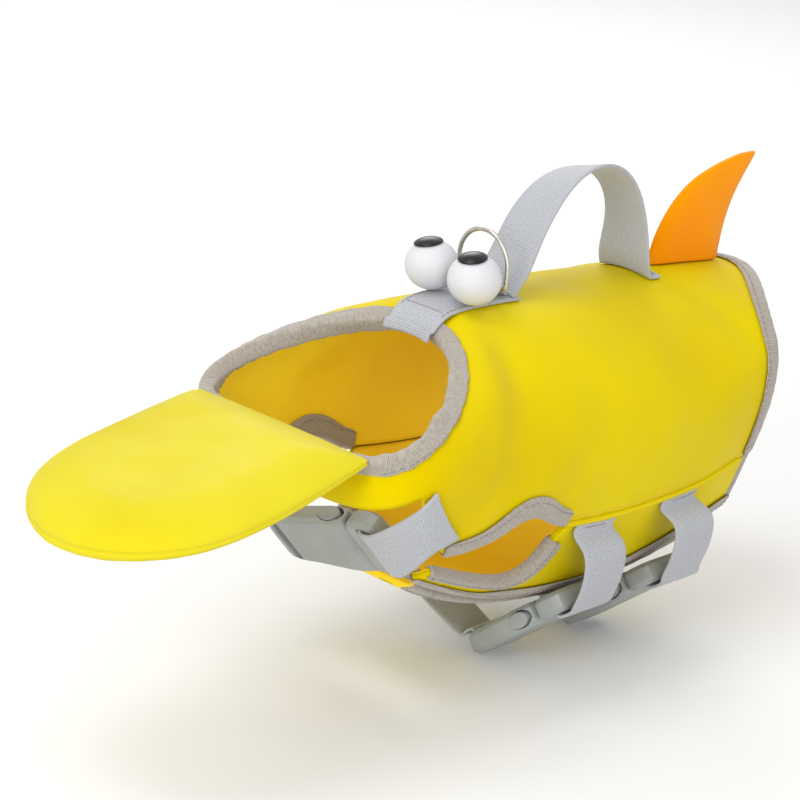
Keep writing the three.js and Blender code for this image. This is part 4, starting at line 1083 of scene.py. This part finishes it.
def edge_row(rim, cloth, onto, inset, pitch=3.3, faces=(1, -1)):
    """Stitches beside a cut edge, on the outer face, the inner face or both."""
    places = []
    cloth_tree = surface(cloth)
    onto_tree = surface(onto)
    for spot, travel in stations(rim, pitch):
        out = outwards(spot)
        inward = out.cross(travel).normalized()
        off_cloth = [cloth_tree.find_nearest(spot + step)[3] for step in (inward * BESIDE, inward * -BESIDE)]
        if off_cloth[0] > off_cloth[1]:
            inward.negate()
        for face in faces:
            start = spot + inward * inset * MM
            if face < 0:
                start -= out * HALF_WAY_IN
            places.append(drop(onto_tree, start, out * -face, travel))
    return [p for p in places if p]


def straight_row(onto, points, look, pitch=3.0):
    line = [Vector(p) * MM for p in points]
    tree = surface(onto)
    look = Vector(look).normalized()
    places = [drop(tree, spot, look, travel) for spot, travel in stations(line, pitch)]
    return [p for p in places if p]


def sew(name, places, thread):
    """One mesh with a copy of the stitch at each place."""
    corners = []
    faces = []
    for hit, normal, travel in places:
        turn = Matrix((normal, travel.cross(normal), travel)).transposed()
        first = len(corners)
        middle = hit + normal * PROUD
        corners += [middle + turn @ vertex.co for vertex in stitch.data.vertices]
        faces += [[first + i for i in face.vertices] for face in stitch.data.polygons]
    mesh = bpy.data.meshes.new(name)
    mesh.from_pydata(corners, [], faces)
    piece = bpy.data.objects.new(name, mesh)
    scene.collection.objects.link(piece)
    smooth_faces(piece)
    dress(piece, [], thread)
    print(name, len(places), "stitches")
    return piece


BOUND_EDGES = [
    # tape, rims to walk down, cloth, how far in from the edge in mm
    ("neck_tape", panel_rims, back_panel, 6.2),
    ("hem_tape", panel_rims, back_panel, 7.4),
    ("armhole_tape_left", panel_rims, back_panel, 7.4),
    ("armhole_tape_right", panel_rims, back_panel, 7.4),
    ("belly_arm_tape_left", flap_rims, left_flap, 2.3),
    ("belly_edge_tape_left", flap_rims, left_flap, 2.3),
    ("belly_arm_tape_right", belly_rims, right_panel, 7.2),
    ("belly_edge_tape_right", belly_rims, right_panel, 7.2),
]
grey_rows = []
for node, rims, cloth, inset in BOUND_EDGES:
    grey_rows += edge_row(nearest_rim(tapes[node], rims), cloth, tapes[node], inset)
sew("binding_stitches", grey_rows, thread_grey)

yellow_rows = []
for side in (1, -1):
    yellow_rows += edge_row(seam_edge(side), back_panel, back_panel, 4.2, faces=(1,))
yellow_rows += straight_row(beak, [(-58, -198.5, -18), (0, -198.5, -18), (58, -198.5, -18)], (0, 0, -1))
sew("seam_stitches", yellow_rows, thread_yellow)

# %% [markdown]
# The webbing carries the load, so it is sewn in boxes and bars: two rows along the spine webbing,
# short bars across each foot of the handle and of the ring's keeper, and a row across each strap's
# root, just below the seam roll.

# %% Webbing seams
WEBBING_SEAMS = [
    # strap, from x, y, to x, y, height to drop from, pitch, all in mm
    ("spine_webbing", (-15, -95), (-15, -38), 20, 3.0),
    ("spine_webbing", (15, -95), (15, -38), 20, 3.0),
    ("spine_webbing", (-14, -96), (14, -96), 20, 3.0),
    ("spine_webbing", (-14, -92), (14, -92), 20, 3.0),
    ("spine_webbing", (-14, -38), (14, -38), 20, 3.0),
    ("handle", (-17, 70.5), (17, 70.5), 8, 2.6),
    ("handle", (-17, 73), (17, 73), 8, 2.6),
    ("handle", (-17, 75.5), (17, 75.5), 8, 2.6),
    ("ring_keeper", (-12, -55.3), (12, -55.3), 20, 2.6),
    ("ring_keeper", (-12, -44.7), (12, -44.7), 20, 2.6),
]
ROOTS = [
    # strap, y of its middle in mm, side
    ("front_strap_left", -34, 1),
    ("rear_strap_left", 40, 1),
    ("front_strap_right", -34, -1),
    ("rear_strap_right", 40, -1),
]
NEAR_ROOT = 22
HALF_ROW = 13
BELOW_SEAM = 3.2
ROOT_PITCH = 2.8
strap_rows = []
for node, start, end, height, pitch in WEBBING_SEAMS:
    strap_rows += straight_row(straps[node], [(*start, height), (*end, height)], -UP, pitch)
for node, y, side in ROOTS:
    edge = [p / MM for p in seam_edge(side)]
    line = [p - UP * BELOW_SEAM for p in edge if abs(p.y - y) < NEAR_ROOT]
    inside = [p for p in line if abs(p.y - y) < HALF_ROW] or line
    first, last = (min(line, key=lambda p: abs(p.y - end)) for end in (y - HALF_ROW, y + HALF_ROW))
    strap_rows += straight_row(straps[node], [first, *inside, last], (-side, 0, 0), ROOT_PITCH)
sew("webbing_stitches", strap_rows, thread_grey)
bpy.data.objects.remove(stitch)

# %% [markdown]
# The last step writes down the size of the plain model and of the dressed one, to compare them.

# %% Finish
low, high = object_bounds()
grown = [*(plain_low - low), *(high - plain_high)]
print("grown in mm:", [round(v / MM, 1) for v in grown])
